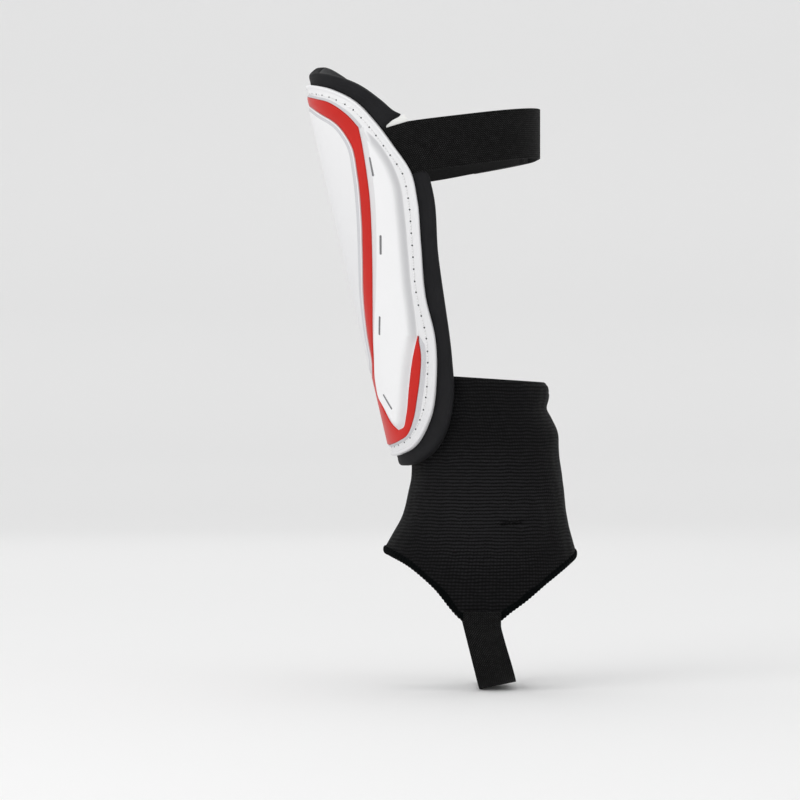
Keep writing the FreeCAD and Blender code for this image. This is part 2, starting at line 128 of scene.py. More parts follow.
stirrup_width = 23.0
stirrup_thick = 1.5
stirrup_top = -68.0
stirrup_bottom = -117.0
stirrup_corner = 22.0
stirrup_middle = -2.5
stirrup_slant = 0.25
stirrup_tilt = 0.2

seam_height = 34.0
seam_pitch = 6.0

# ---- outlines
# Each place is an angle and a share of the guard's height.
shell_edge = [(0, 1.000), (22, 0.993), (39, 0.976), (54, 0.941), (64, 0.885), (72, 0.820), (79, 0.750),
              (79.6, 0.686), (76.8, 0.564), (73.3, 0.421), (74.2, 0.312), (70.5, 0.217), (60, 0.100),
              (44, 0.030), (22, 0.003), (0, 0.000)]
foam_top = [(0, 1.032), (24, 1.027), (40, 1.013), (56, 0.985), (68, 0.944), (75.5, 0.913), (79, 0.906)]
foam_top_far = [(0, 1.032), (12, 1.045), (27, 1.062), (42, 1.045), (57, 1.000), (68, 0.952), (79, 0.906)]
foam_notch = [(79, 0.906), (68.6, 0.873)]
foam_notch_low = [(68.6, 0.873), (89, 0.742)]
foam_side = [(89, 0.742), (89.5, 0.686), (85.6, 0.540), (83.7, 0.386), (83.0, 0.325), (81.6, 0.258),
             (77, 0.150), (65, 0.055), (54, 0.014), (38, -0.014), (18, -0.026), (0, -0.028)]
panel_edge = [(0, 0.945), (24, 0.916), (39.5, 0.878), (46, 0.828), (46, 0.748), (43, 0.660), (33.5, 0.513),
              (25, 0.418), (17.5, 0.317), (13, 0.241), (0, 0.213)]
red_top = [(0, 0.972), (22, 0.957), (37, 0.940), (49, 0.901), (53.8, 0.872)]
red_side = [(53.8, 0.872), (53.8, 0.838), (53, 0.768), (51, 0.682), (47, 0.594), (34, 0.406), (21, 0.278),
            (12.5, 0.200), (11.5, 0.154), (17.6, 0.120), (25, 0.085), (31.5, 0.069)]
petal_inner = [(31.5, 0.069), (38, 0.078), (43, 0.111), (50, 0.182), (57, 0.256), (64, 0.320)]
red_low = [(64, 0.320), (63.8, 0.277), (60, 0.213), (55, 0.158), (48, 0.097), (40, 0.057), (29, 0.040),
           (14, 0.030), (0, 0.028)]
flank_foot = [(55.6, 0.876), (62, 0.846), (69, 0.786), (72.2, 0.722), (71.4, 0.640), (69.0, 0.540),
              (66.4, 0.440), (65.4, 0.375), (64, 0.320)]
vents = [(58.0, 0.766, 0.0), (53.4, 0.560, 14.0), (39.0, 0.347, 20.0), (29.5, 0.144, -32.0)]
# corners of the label: (angle, height)
label_corners = [(66, 225.0), (84.4, 228.0), (81.2, 236.4), (67, 230.2)]

# lower edge of the sleeve: (angle, height); ankle: (height, middle y, front y, back y, half width)
instep_edge = [(0, -33.0), (22, -34.8), (45, -41.0), (64, -53.5), (79, -72.0)]
heel_edge = [(103, -72.0), (116, -62.0), (132, -50.5), (155, -40.0), (180, -35.0)]
ankle_stations = [(0.0, 0.0, -49.0, 49.0, 38.0), (-12.0, 0.0, -52.8, 51.3, 40.0),
                  (-25.0, -1.0, -60.0, 54.8, 39.4), (-38.0, -2.0, -66.5, 58.0, 37.0),
                  (-60.0, -3.0, -74.0, 60.0, tongue_half_width), (-84.0, -3.0, -78.0, 61.0, 34.0)]
leg_station_heights = (88.0, 72.0, 58.0, 40.0, 20.0)
leg_station_backs = (38.0, 38.0, 39.0, 44.3, 46.5)


# ---- the leg form
def ease(share):
    t = min(max(share, 0.0), 1.0)
    return t * t * (3.0 - 2.0 * t)


def leg_form(z):
    """Middle, front depth, back depth and half width of the guard's inner face at a height."""
    up = z - guard_bottom
    depth = shell_depth + depth_flare * up
    middle = ridge_y - guard_lean * up + depth
    return middle, depth - shell_face, calf_back_y - middle, shell_half_width + shell_flare * up - shell_face


def guard_point(angle, z, out):
    middle, front, back, half = leg_form(z)
    turn = math.radians(angle)
    reach = front if math.cos(turn) > 0 else back
    return Vector(((half + out) * math.sin(turn), middle - (reach + out) * math.cos(turn), z)) * MM


def sleeve_stations():
    rows = []
    for z, back in zip(leg_station_heights, leg_station_backs):
        middle, front, _, half = leg_form(z)
        rows.append((z, middle, middle - front + fit_gap, back, half - fit_gap))
    return rows + ankle_stations


stations = sleeve_stations()


def along_stations(z):
    """Smooth values between the stations (Catmull-Rom)."""
    last = len(stations) - 2
    i = 0
    while i < last and z < stations[i + 1][0]:
        i += 1
    before = stations[max(i - 1, 0)]
    after = stations[min(i + 2, len(stations) - 1)]
    upper, lower = stations[i], stations[i + 1]
    t = (z - upper[0]) / (lower[0] - upper[0])
    values = []
    for k in range(1, 5):
        m0 = (lower[k] - before[k]) * (upper[0] - lower[0]) / (before[0] - lower[0])
        m1 = (after[k] - upper[k]) * (upper[0] - lower[0]) / (upper[0] - after[0])
        h = 2 * t ** 3 - 3 * t ** 2 + 1
        values.append(h * upper[k] + (t ** 3 - 2 * t ** 2 + t) * m0 + (1 - h) * lower[k]
                      + (t ** 3 - t ** 2) * m1)
    return values


def sleeve_rim(angle):
    """Height of the sleeve's top edge."""
    return sleeve_top + sleeve_top_slope * math.cos(math.radians(angle))


def near_side(angle):
    """The same place's angle on the near half."""
    return angle if angle <= 180.0 else 360.0 - angle


def sleeve_point(angle, z, out):
    """A place on the sleeve; out is 0 at its outer face."""
    middle, front, back, half = along_stations(z)
    turn = math.radians(angle)
    reach = middle - front if math.cos(turn) > 0 else back - middle
    return Vector(((half + out) * math.sin(turn), middle - (reach + out) * math.cos(turn), z)) * MM


def strap_height(angle):
    start = guard_point(foam_side_angle, strap_middle, 0.0).y
    back = (guard_point(angle, strap_middle, 0.0).y - start) / MM
    dive = 0.0 if 90.0 < angle < 270.0 else strap_dive * max(-back - strap_dive_start, 0.0)
    return strap_middle + strap_tilt * back - dive


def strap_base(angle):
    side_span = 180.0 - foam_side_angle - calf_contact
    return strap_lift + (strap_seat - strap_lift) * ease((abs(180.0 - angle) - calf_contact) / side_span)


def strap_point(angle, across, out):
    return guard_point(angle, strap_height(angle) + across, strap_base(angle) + out)


def hooked_point(angle, across, out):
    """The strap's far end and its tab, which lie on the loop-faced strap."""
    step = (strap_thick + move_gap) * ease((angle - step_angle) / (tab_angle - step_angle))
    return strap_point(angle, across, out + step)


stirrup_half = tongue_half_width + move_gap
stirrup_flat = stirrup_half - stirrup_corner
stirrup_arc = 0.5 * math.pi * stirrup_corner
stirrup_floor = stirrup_bottom + stirrup_thick
stirrup_reach = stirrup_flat + stirrup_arc + stirrup_top - stirrup_floor - stirrup_corner


def stirrup_point(along, across, out):
    """along runs from the middle of the sole up to both sewn ends."""
    side = 1.0 if along >= 0.0 else -1.0
    far = abs(along)
    if far <= stirrup_flat:
        x, z = far, stirrup_floor - out
    elif far <= stirrup_flat + stirrup_arc:
        turn = (far - stirrup_flat) / stirrup_corner
        x = stirrup_flat + (stirrup_corner + out) * math.sin(turn)
        z = stirrup_floor + stirrup_corner - (stirrup_corner + out) * math.cos(turn)
    else:
        x, z = stirrup_half + out, stirrup_floor + stirrup_corner + far - stirrup_flat - stirrup_arc
    y = stirrup_middle + across + stirrup_slant * max(tongue_bottom - z, 0.0)
    low = ease((tongue_bottom - z) / (tongue_bottom - stirrup_bottom))
    return Vector((side * x, y, z + stirrup_tilt * (across + 0.5 * stirrup_width) * low)) * MM


def full_turn(step, steps):
    return 2.0 * math.pi * (step % steps) / steps


# ---- lines on the form
def mm_per_degree(point, angle, z):
    return (point(angle + 0.5, z, shell_face) - point(angle - 0.5, z, shell_face)).length / MM


def heights(points):
    return [(angle, guard_bottom + share * guard_height) for angle, share in points]


def smooth_line(points, mirrored=False, step=0.6):
    """Dense places along a smooth line; a mirrored one crosses the centre line squarely at both ends."""
    knots = [np.array(p, float) for p in points]
    if mirrored:
        flip = np.array((-1.0, 1.0))
        knots = [knots[1] * flip] + knots + [knots[-2] * flip]
    gaps = [max(np.linalg.norm(b - a), 1e-6) for a, b in zip(knots, knots[1:])]
    slopes = [(b - a) / g for a, b, g in zip(knots, knots[1:], gaps)]
    ways = [slopes[0]]
    for i in range(1, len(knots) - 1):
        ways.append((slopes[i] * gaps[i - 1] + slopes[i - 1] * gaps[i]) / (gaps[i] + gaps[i - 1]))
    ways.append(slopes[-1])
    made = []
    first, last = (1, len(knots) - 2) if mirrored else (0, len(knots) - 1)
    for i in range(first, last):
        count = max(int(gaps[i] / step), 1)
        for k in range(count):
            t = k / count
            h = 2 * t ** 3 - 3 * t ** 2 + 1
            made.append(h * knots[i] + (t ** 3 - 2 * t ** 2 + t) * gaps[i] * ways[i] + (1 - h) * knots[i + 1]
                        + (t ** 3 - t ** 2) * gaps[i] * ways[i + 1])
    made.append(knots[last])
    return np.array(made)


def even_line(line, count):
    """The same line with its places evenly spread."""
    run = np.concatenate(([0.0], np.cumsum(np.linalg.norm(np.diff(line, axis=0), axis=1))))
    want = np.linspace(0.0, run[-1], count)
    return np.stack([np.interp(want, run, line[:, 0]), np.interp(want, run, line[:, 1])], axis=1)


def full_ring(near, far=None):
    """Closed ring from a near half line and its mirror image, or another far half."""
    other = near if far is None else far
    return np.concatenate([near, other[::-1][1:-1] * np.array((-1.0, 1.0))])


def beside(line, distance, point=guard_point, closed=False, reach=2):
    """The line moved to its right by a distance in mm."""
    moved = []
    last = len(line) - 1
    for i, (angle, z) in enumerate(line):
        if closed:
            before, after = line[i - reach], line[(i + reach) % len(line)]
        else:
            before, after = line[max(i - reach, 0)], line[min(i + reach, last)]
        scale = mm_per_degree(point, angle, z)
        run, rise = (after[0] - before[0]) * scale, after[1] - before[1]
        size = math.hypot(run, rise)
        moved.append((angle + rise / size * distance / scale, z - run / size * distance))
    return np.array(moved)


# ---- mesh work
merge_reach = 4e-6  # metres: places this near are one
seam_reach = 2e-5  # metres: the same, where two mirrored halves meet
leg_middle_y = -0.02


def alone(piece):
    bpy.ops.object.select_all(action="DESELECT")
    piece.select_set(True)
    bpy.context.view_layer.objects.active = piece


def edit_all(piece, operator, **settings):
    """Runs one of the mesh operators on the whole piece."""
    alone(piece)
    bpy.ops.object.mode_set(mode="EDIT")
    bpy.ops.mesh.select_all(action="SELECT")
    operator(**settings)
    bpy.ops.object.mode_set(mode="OBJECT")


def lattice(name, columns, rows, place, measure=None, paint=None):
    """A grid primitive whose corners are laid on the form; places that meet are merged. measure gives the
    piece's own map, and paint the number of each face's material."""
    bpy.ops.object.select_all(action="DESELECT")
    bpy.ops.mesh.primitive_grid_add(x_subdivisions=columns, y_subdivisions=rows, size=1.0)
    piece = bpy.context.object
    piece.name = piece.data.name = name
    spots = []
    for corner in piece.data.vertices:
        i = round((corner.co.x + 0.5) * columns)
        j = round((corner.co.y + 0.5) * rows)
        spots.append((i, j))
        corner.co = place(i, j)
    if measure:
        layer = piece.data.uv_layers.active.data
        for loop in piece.data.loops:
            layer[loop.index].uv = measure(*spots[loop.vertex_index])
    if paint:
        for face in piece.data.polygons:
            corners = [spots[k] for k in face.vertices]
            face.material_index = paint(min(c[0] for c in corners), min(c[1] for c in corners))
    edit_all(piece, bpy.ops.mesh.remove_doubles, threshold=merge_reach)
    return piece


def outward(piece, inside=False):
    """Turns every face of a closed piece outwards, or inwards for a room."""
    edit_all(piece, bpy.ops.mesh.remove_doubles, threshold=merge_reach)
    edit_all(piece, bpy.ops.mesh.normals_make_consistent, inside=inside)


def face_out(piece):
    """Turns an open sheet so that it faces away from the leg."""
    total = 0.0
    for face in piece.data.polygons:
        total += face.area * (face.normal.x * face.center.x + face.normal.y * (face.center.y - leg_middle_y))
    if total < 0.0:
        edit_all(piece, bpy.ops.mesh.flip_normals)


def modify(piece, kind, **settings):
    alone(piece)
    modifier = piece.modifiers.new(kind.title(), kind)
    for key, value in settings.items():
        setattr(modifier, key, value)
    bpy.ops.object.modifier_apply(modifier=modifier.name)


def smooth(piece, angle=40.0):
    alone(piece)
    bpy.ops.object.shade_smooth_by_angle(angle=math.radians(angle))


def join(pieces, name):
    bpy.ops.object.select_all(action="DESELECT")
    for piece in pieces:
        piece.select_set(True)
    bpy.context.view_layer.objects.active = pieces[0]
    bpy.ops.object.join()
    pieces[0].name = pieces[0].data.name = name
    return pieces[0]


def join_halves(halves, name, wall):
    """Joins mirrored sheets along the centre line and gives them a wall, in mm."""
    piece = join(halves, name)
    edit_all(piece, bpy.ops.mesh.remove_doubles, threshold=seam_reach)
    modify(piece, "SOLIDIFY", thickness=wall * MM, offset=-1.0)
    return piece


def finish_piece(piece, body, material, slot, *nodes):
    for finish in material if isinstance(material, tuple) else (material,):
        piece.data.materials.append(finish)
    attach(piece, body)
    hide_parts(*nodes)


def inset_room(ring, most):
    """How far each place of a ring can move in before it meets the ring's other side."""
    scale = np.array([mm_per_degree(guard_point, angle, z) for angle, z in ring])
    ways = beside(ring, 1.0, closed=True) - ring
    room = np.full(len(ring), 0.3)
    for d in np.arange(0.6, most + 0.1, 0.4):
        moved = ring + ways * d
        run = (moved[:, None, 0] - ring[None, :, 0]) * scale[:, None]
        rise = moved[:, None, 1] - ring[None, :, 1]
        clear = np.sqrt(run ** 2 + rise ** 2).min(axis=1) > 0.93 * d
        room = np.where(clear & (room > d - 0.5), d, room)
    for _ in range(6):
        room = np.minimum(room, (np.roll(room, 1) + np.roll(room, -1)) / 2 + 0.25)
    return room


def ring_plate(name, ring, rings, middle_steps=10, painted_shade_layers=()):
    """Closed plate from insets of a ring, each (inset, out), from the underside round the rim to the top.
    Each face runs on to a line along the plate's middle."""
    count = len(ring)
    room = inset_room(ring, max(d for d, _ in rings))
    ways = beside(ring, 1.0, closed=True) - ring
    insets = {d: ring + ways * np.minimum(d, room)[:, None] for d, _ in rings}
    last_under, last_over = rings[0], rings[-1]

    def towards_middle(base, share):
        moved = []
        for i in range(count):
            partner = base[(count - i) % count]
            z = base[i][1] * share + 0.5 * (base[i][1] + partner[1]) * (1.0 - share)
            moved.append((base[i][0] * share, z))
        return moved

    layers = []
    for k in range(middle_steps):
        layers.append((towards_middle(insets[last_under[0]], k / middle_steps), last_under[1]))
    for d, out in rings:
        layers.append((insets[d], out))
    for k in reversed(range(middle_steps)):
        layers.append((towards_middle(insets[last_over[0]], k / middle_steps), last_over[1]))

    def place(i, j):
        angle, z = layers[j][0][i % count]
        return guard_point(angle, z, layers[j][1])

    first = middle_steps
    # faces of the listed layers take the second material, whose pale grey is painted shade
    piece = lattice(name, count, len(layers) - 1, place, paint=lambda i, j: int(j - first in painted_shade_layers))
    outward(piece)
    return piece


# ---- materials
wave_scale = 0.31416  # a wave texture of this scale has one band to each unit of length
wale_pitch = 1.5  # mm between the knit's columns of stitches


def linear(text):
    """sRGB hex to linear colour."""
    values = [int(text[i:i + 2], 16) / 255.0 for i in (0, 2, 4)]
    return [v / 12.92 if v <= 0.04045 else ((v + 0.055) / 1.055) ** 2.4 for v in values]


def add_node(tree, kind, inputs=None, **settings):
    """Adds a node with its settings; inputs gives each socket a value or another node's output."""
    made = tree.nodes.new(kind)
    for key, value in settings.items():
        setattr(made, key, value)
    for socket, value in (inputs or {}).items():
        if isinstance(value, bpy.types.NodeSocket):
            tree.links.new(value, made.inputs[socket])
        else:
            made.inputs[socket].default_value = value
    return made


def new_material(name, **sockets):
    """Material with one principled shader; returns it with its tree, shader and coordinates."""
    material = bpy.data.materials.new(name)
    material.use_nodes = True
    tree = material.node_tree
    shader = tree.nodes["Principled BSDF"]
    for socket, value in sockets.items():
        shader.inputs[socket.replace("_", " ")].default_value = value
    return material, tree, shader, add_node(tree, "ShaderNodeTexCoord")


def mixed(tree, share, dark, light):
    """Colour between two others by a share output."""
    made = add_node(tree, "ShaderNodeMix", {0: share, 6: (*dark, 1.0), 7: (*light, 1.0)}, data_type="RGBA")
    return made.outputs[2]


def noise_out(tree, coords, pitch, detail=2.0, roughness=0.5):
    """Noise whose lumps are about pitch mm across."""
    made = add_node(tree, "ShaderNodeTexNoise", {"Vector": coords, "Scale": 1.0 / (pitch * MM),
                                                 "Detail": detail, "Roughness": roughness})
    return made.outputs["Fac"]


def bump(tree, shader, height, distance, strength=1.0):
    made = add_node(tree, "ShaderNodeBump", {"Height": height, "Distance": distance * MM,
                                             "Strength": strength})
    tree.links.new(made.outputs["Normal"], shader.inputs["Normal"])


def maths(tree, operation, *values):
    return add_node(tree, "ShaderNodeMath", dict(enumerate(values)), operation=operation).outputs[0]


def moulded_polypropylene(colour):
    """Injection-moulded white polypropylene: satin, with the faintest orange peel and milky depth. The first
    part of a piece's own map paints shade into its colour, greying it softly towards c9c9cb."""
    material, tree, shader, coords = new_material("moulded_polypropylene", Roughness=0.36, IOR=1.49)
    tint = mixed(tree, noise_out(tree, coords.outputs["Object"], 30.0), [0.965 * c for c in colour], colour)
    # painted shade: the first part of the map mixes the colour towards grey c9c9cb; pieces that get no map of
    # their own keep the grid's, so on the shell's flange and the centre panel the grey runs from none to full
    # once round
    painted_shade = add_node(tree, "ShaderNodeSeparateXYZ", {0: coords.outputs["UV"]}).outputs[0]
    made = add_node(tree, "ShaderNodeMix", {0: painted_shade, 6: tint, 7: (*linear("c9c9cb"), 1.0)}, data_type="RGBA")
    tree.links.new(made.outputs[2], shader.inputs["Base Color"])
    bump(tree, shader, noise_out(tree, coords.outputs["Object"], 1.6), 0.02, 0.5)
    return material


def grained_polypropylene_painted_shade():
    """The same plastic off a spark-eroded part of the mould: a fine matt grain, coloured pale grey as painted
    shade.
    """
    material, tree, shader, coords = new_material("grained_polypropylene_painted_shade", Roughness=0.6, IOR=1.49,
                                                  Specular_IOR_Level=0.3)
    grain = noise_out(tree, coords.outputs["Object"], 0.8)
    # painted shade: the pale grey stands in for shade on the slopes beside the inlay
    tree.links.new(mixed(tree, grain, linear("c6c6c9"), linear("d2d2d5")), shader.inputs["Base Color"])
    bump(tree, shader, grain, 0.03, 0.6)
    return material


def hole_shade():
    """Inner wall of a pierced hole in the plastic: rough, with its mid grey painted in as shade, so it reads
    as a grey mark.
    """
    material, tree, shader, coords = new_material("hole_wall_painted_shade", Roughness=0.8)
    share = noise_out(tree, coords.outputs["Object"], 2.0)
    # painted shade: grey 808082 to 9c9c9e stands in for the shade inside the holes
    tree.links.new(mixed(tree, share, linear("808082"), linear("9c9c9e")), shader.inputs["Base Color"])
    return material


def lacquered_inlay(colour):
    """Red lacquered plastic: glossy under a clear coat, a little deeper in tone where the lacquer pools."""
    material, tree, shader, coords = new_material("lacquered_inlay", Roughness=0.4, IOR=1.5, Coat_Weight=0.08,
                                                  Coat_Roughness=0.15, Specular_IOR_Level=0.25)
    pool = noise_out(tree, coords.outputs["Object"], 22.0)
    tree.links.new(mixed(tree, pool, [0.8 * c for c in colour], colour), shader.inputs["Base Color"])
    bump(tree, shader, noise_out(tree, coords.outputs["Object"], 2.4), 0.015, 0.4)
    return material


def closed_cell_foam(colour):
    """Moulded EVA foam: matt near-black skin with fine pores, drawn at 1.1 mm so that they show."""
    material, tree, shader, coords = new_material("eva_foam", Roughness=0.72, Specular_IOR_Level=0.15)
    where = coords.outputs["Object"]
    cloud = noise_out(tree, where, 14.0)
    tree.links.new(mixed(tree, cloud, [0.75 * c for c in colour], [1.25 * c for c in colour]),
                   shader.inputs["Base Color"])
    pores = add_node(tree, "ShaderNodeTexVoronoi", {"Vector": where, "Scale": 1.0 / (1.1 * MM)})
    bump(tree, shader, pores.outputs["Distance"], 0.08, 0.5)
    return material


def brushed_nylon(colour):
    """Brushed nylon lining: a soft nap that lies in clouds, with a pale sheen at grazing angles."""
    material, tree, shader, coords = new_material("brushed_nylon", Roughness=0.95, Sheen_Weight=0.25,
                                                  Sheen_Roughness=0.5)
    where = coords.outputs["Object"]
    share = noise_out(tree, where, 6.0, 5.0, 0.7)
    tree.links.new(mixed(tree, share, [0.7 * c for c in colour], [1.5 * c for c in colour]),
                   shader.inputs["Base Color"])
    bump(tree, shader, noise_out(tree, where, 0.9, 4.0, 0.7), 0.15, 0.6)
    return material


def twisted_thread(name, dark, light):
    """Sewing thread: plies that wind round it every 1.2 mm, slightly glossy polyester."""
    material, tree, shader, coords = new_material(name, Roughness=0.55, Specular_IOR_Level=0.15)
    turned = add_node(tree, "ShaderNodeMapping", {"Vector": coords.outputs["Object"],
                                                  "Rotation": (0.6, 0.5, 0.7)})
    plies = add_node(tree, "ShaderNodeTexWave", {"Vector": turned.outputs[0], "Scale": 0.3 / (1.2 * MM)})
    tree.links.new(mixed(tree, plies.outputs["Fac"], dark, light), shader.inputs["Base Color"])
    bump(tree, shader, plies.outputs["Fac"], 0.06, 0.7)
    return material


def waves(tree, coords, pitch, axis):
    """Even bands across one axis, pitch mm apart."""
    made = add_node(tree, "ShaderNodeTexWave", {"Vector": coords, "Scale": wave_scale / (pitch * MM)},
                    bands_direction=axis)
    return made.outputs["Fac"]


def elastic_webbing(name, colour, pitch, lift, sheen):
    """Woven elastic webbing: herringbone picks over rubber, matt black with a little lint. The real picks are
    about half a millimetre apart and are drawn coarser, pitch mm apart, so that they show."""
    material, tree, shader, coords = new_material(name, Roughness=0.85, Sheen_Weight=sheen,
                                                  Sheen_Roughness=0.4, Specular_IOR_Level=0.06)
    where = coords.outputs["UV"]
    parts = add_node(tree, "ShaderNodeSeparateXYZ", {0: where})
    across = maths(tree, "PINGPONG", parts.outputs[1], 9.0 * pitch * MM)
    along = maths(tree, "ADD", parts.outputs[0], across)
    picks = add_node(tree, "ShaderNodeCombineXYZ", {0: along, 1: parts.outputs[1]})
    twill = waves(tree, picks.outputs[0], pitch, "X")
    rows = waves(tree, where, 0.8 * pitch, "Y")
    weave = maths(tree, "MULTIPLY", twill, maths(tree, "ADD", rows, 0.35))
    lint = noise_out(tree, coords.outputs["Object"], 2.5, 4.0)
    share = maths(tree, "MULTIPLY", weave, lint)
    tree.links.new(mixed(tree, share, [0.4 * c for c in colour], [lift * c for c in colour]),
                   shader.inputs["Base Color"])
    bump(tree, shader, weave, 0.22, 0.8)
    return material


def hook_and_loop(name, colour, pitch, depth):
    """Fastener tape: a dense field of small loops or hooks, pitch mm apart, which scatters light softly."""
    material, tree, shader, coords = new_material(name, Roughness=0.9, Sheen_Weight=0.15)
    where = coords.outputs["Object"]
    tufts = add_node(tree, "ShaderNodeTexVoronoi", {"Vector": where, "Scale": 1.0 / (pitch * MM)})
    fuzz = noise_out(tree, where, 0.5 * pitch, 3.0)
    share = maths(tree, "MULTIPLY", tufts.outputs["Distance"], fuzz)
    tree.links.new(mixed(tree, share, [0.6 * c for c in colour], [2.4 * c for c in colour]),
                   shader.inputs["Base Color"])
    bump(tree, shader, tufts.outputs["Distance"], depth, 0.8)
    return material


def ribbed_knit(name, colour, pitch, mesh_zone=True):
    """Ribbed elastic knit: level ribs pitch mm apart, each made of stitches, darker between the ribs. Round
    the stretched side of the ankle the stitches open and small dark gaps show, and a painted highlight
    brightens the colour there up to 2.9 times."""
    material, tree, shader, coords = new_material(name, Roughness=0.9, Sheen_Weight=0.04,
                                                  Sheen_Roughness=0.45, Specular_IOR_Level=0.1)
    where = coords.outputs["UV"]
    wander = noise_out(tree, coords.outputs["Object"], 9.0)
    shifted = add_node(tree, "ShaderNodeVectorMath", {0: where, 1: maths(tree, "MULTIPLY", wander, 2.2 * MM)},
                       operation="ADD")
    ribs = waves(tree, shifted.outputs[0], pitch, "Y")
    wales = waves(tree, where, wale_pitch, "X")
    knit = maths(tree, "MULTIPLY", ribs, maths(tree, "ADD", maths(tree, "MULTIPLY", wales, 0.55), 0.45))
    height = knit
    if mesh_zone:
        zone = add_node(tree, "ShaderNodeMapping", {"Vector": coords.outputs["Object"],
                                                    "Location": (0.0, 0.06, 0.1), "Scale": (0.0, 24.0, 24.0)})
        away = add_node(tree, "ShaderNodeVectorMath", {0: zone.outputs[0]}, operation="LENGTH")
        near = add_node(tree, "ShaderNodeMapRange", {0: away.outputs["Value"], 1: 1.1, 2: 0.3}).outputs[0]
        dots = maths(tree, "MULTIPLY", wales, waves(tree, where, pitch, "Y"))
        gap = maths(tree, "GREATER_THAN", dots, 0.5)
        open_share = maths(tree, "MULTIPLY", gap, near)
        height = maths(tree, "SUBTRACT", knit, maths(tree, "MULTIPLY", open_share, 1.1))
    lint = noise_out(tree, coords.outputs["Object"], 3.0, 4.0)
    share = maths(tree, "MULTIPLY", height, maths(tree, "ADD", lint, 0.3))
    if mesh_zone:
        # painted highlight: the colour is brightened towards the middle of the zone
        painted_highlight = maths(tree, "ADD", maths(tree, "MULTIPLY", near, 1.9), 1.0)
        share = maths(tree, "MULTIPLY", share, painted_highlight)
    tree.links.new(mixed(tree, share, [0.22 * c for c in colour], [3.0 * c for c in colour]),
                   shader.inputs["Base Color"])
    bump(tree, shader, height, 0.45, 0.9)
    return material


def woven_label():
    """Woven satin label: fine level picks, off-white, left blank."""
    material, tree, shader, coords = new_material("woven_label", Roughness=0.5, Sheen_Weight=0.2)
    picks = waves(tree, coords.outputs["Object"], 0.9, "Z")
    tree.links.new(mixed(tree, picks, linear("e4e4e2"), linear("f7f7f5")), shader.inputs["Base Color"])
    bump(tree, shader, picks, 0.04, 0.5)
    return material


# ---- settings
def colour_setting(name, text, what):
    return bpy.props.FloatVectorProperty(name=name, description=what, subtype="COLOR", size=3, min=0.0,
                                         max=1.0, default=linear(text))


def length_setting(name, millimetres, what):
    return bpy.props.FloatProperty(name=name, description=what, unit="LENGTH", subtype="DISTANCE", min=0.0,
                                   precision=5, default=millimetres * MM)


class GuardSettings(bpy.types.PropertyGroup):
    shell_colour: colour_setting("Shell", "f0f0f1", "Colour of the moulded shell")
    inlay_colour: colour_setting("Inlay", "cf1e13", "Colour of the lacquered inlay")
    foam_colour: colour_setting("Foam", "1c1c1e", "Colour of the foam backing")
    lip_height: length_setting("Lip height", 1.0, "How far the shell's rim stands above its flange")
    panel_rise: length_setting("Panel rise", 2.25, "Height of the centre panel above the flange")
    flank_rise: length_setting("Flank rise", 3.3, "Height of the flank ridges above the flange")
    inlay_rise: length_setting("Inlay rise", 1.45, "Height of the inlay above the flange")


class SoftSettings(bpy.types.PropertyGroup):
    knit_colour: colour_setting("Knit", "101011", "Colour of the ankle sleeve")
    edging_colour: colour_setting("Edging", "060a0b", "Colour of the rolled edging")
    elastic_colour: colour_setting("Elastic", "080808", "Colour of the calf strap and the stirrup")
    rib_pitch: length_setting("Rib pitch", 2.1, "Spacing of the sleeve's ribs")
    scallop_pitch: length_setting("Scallop pitch", 2.5, "Spacing of the scallops along the edging")
    weave_pitch: length_setting("Weave pitch", 1.5, "Spacing of the strap's diagonal picks")


class StageSettings(bpy.types.PropertyGroup):
    floor_colour: colour_setting("Floor", "f7f7f7", "Colour of the studio floor")
    camera_distance: length_setting("Camera distance", 2000.0, "Camera to the middle of the leg")
    lens: bpy.props.FloatProperty(name="Lens", description="Focal length", unit="CAMERA", default=144.0)
    key_power: bpy.props.FloatProperty(name="Key light", description="Power of the main softbox",
                                       unit="POWER", default=11.0)
    fill_power: bpy.props.FloatProperty(name="Fill light", description="Power of the other softboxes",
                                        unit="POWER", default=1.3)


class ShinGuardSettings(bpy.types.PropertyGroup):
    guard: bpy.props.PointerProperty(type=GuardSettings, name="Guard", description="Shell, inlay and foam")
    soft: bpy.props.PointerProperty(type=SoftSettings, name="Soft parts", description="Sleeve and straps")
    stage: bpy.props.PointerProperty(type=StageSettings, name="Stage", description="Camera and lights")


# ---- guard
def shell_ring(count=360):
    return full_ring(even_line(smooth_line(heights(shell_edge), True), count))


def walk(line, pitch, out):
    """Places along a closed line at an even pitch, each with its direction."""
    row = [guard_point(angle, z, out) for angle, z in line]
    total = sum((row[i] - row[i - 1]).length for i in range(len(row)))
    count = round(total / (pitch * MM))
    places = []
    gone = 0.0
    for i in range(len(row)):
        if gone >= len(places) * total / count:
            places.append((line[i], row[i], (row[(i + 1) % len(row)] - row[i - 1]).normalized()))
        gone += (row[(i + 1) % len(row)] - row[i]).length
    return places


def cut_holes(piece, cutters, material):
    """Cuts closed tools out of a piece; the new walls take the tools' material."""
    tool = join(cutters, "cutter")
    tool.data.materials.clear()
    tool.data.materials.append(material)
    modify(piece, "BOOLEAN", operation="DIFFERENCE", object=tool, solver="EXACT", material_mode="TRANSFER")
    bpy.data.objects.remove(tool)


def peg(where, way, radius, depth):
    """A small closed peg pointing along way, centred on a place."""
    bpy.ops.object.select_all(action="DESELECT")
    bpy.ops.mesh.primitive_cylinder_add(vertices=10, radius=radius * MM, depth=depth * MM, location=where,
                                        rotation=way.to_track_quat("Z", "Y").to_euler())
    made = bpy.context.object
    bpy.ops.object.transform_apply(location=True, rotation=True, scale=True)
    return made


def face_way(point, angle, z):
    """Square out from the form at a place."""
    along = point(angle + 0.5, z, shell_face) - point(angle - 0.5, z, shell_face)
    up = point(angle, z + 0.5, shell_face) - point(angle, z - 0.5, shell_face)
    return along.cross(up).normalized()


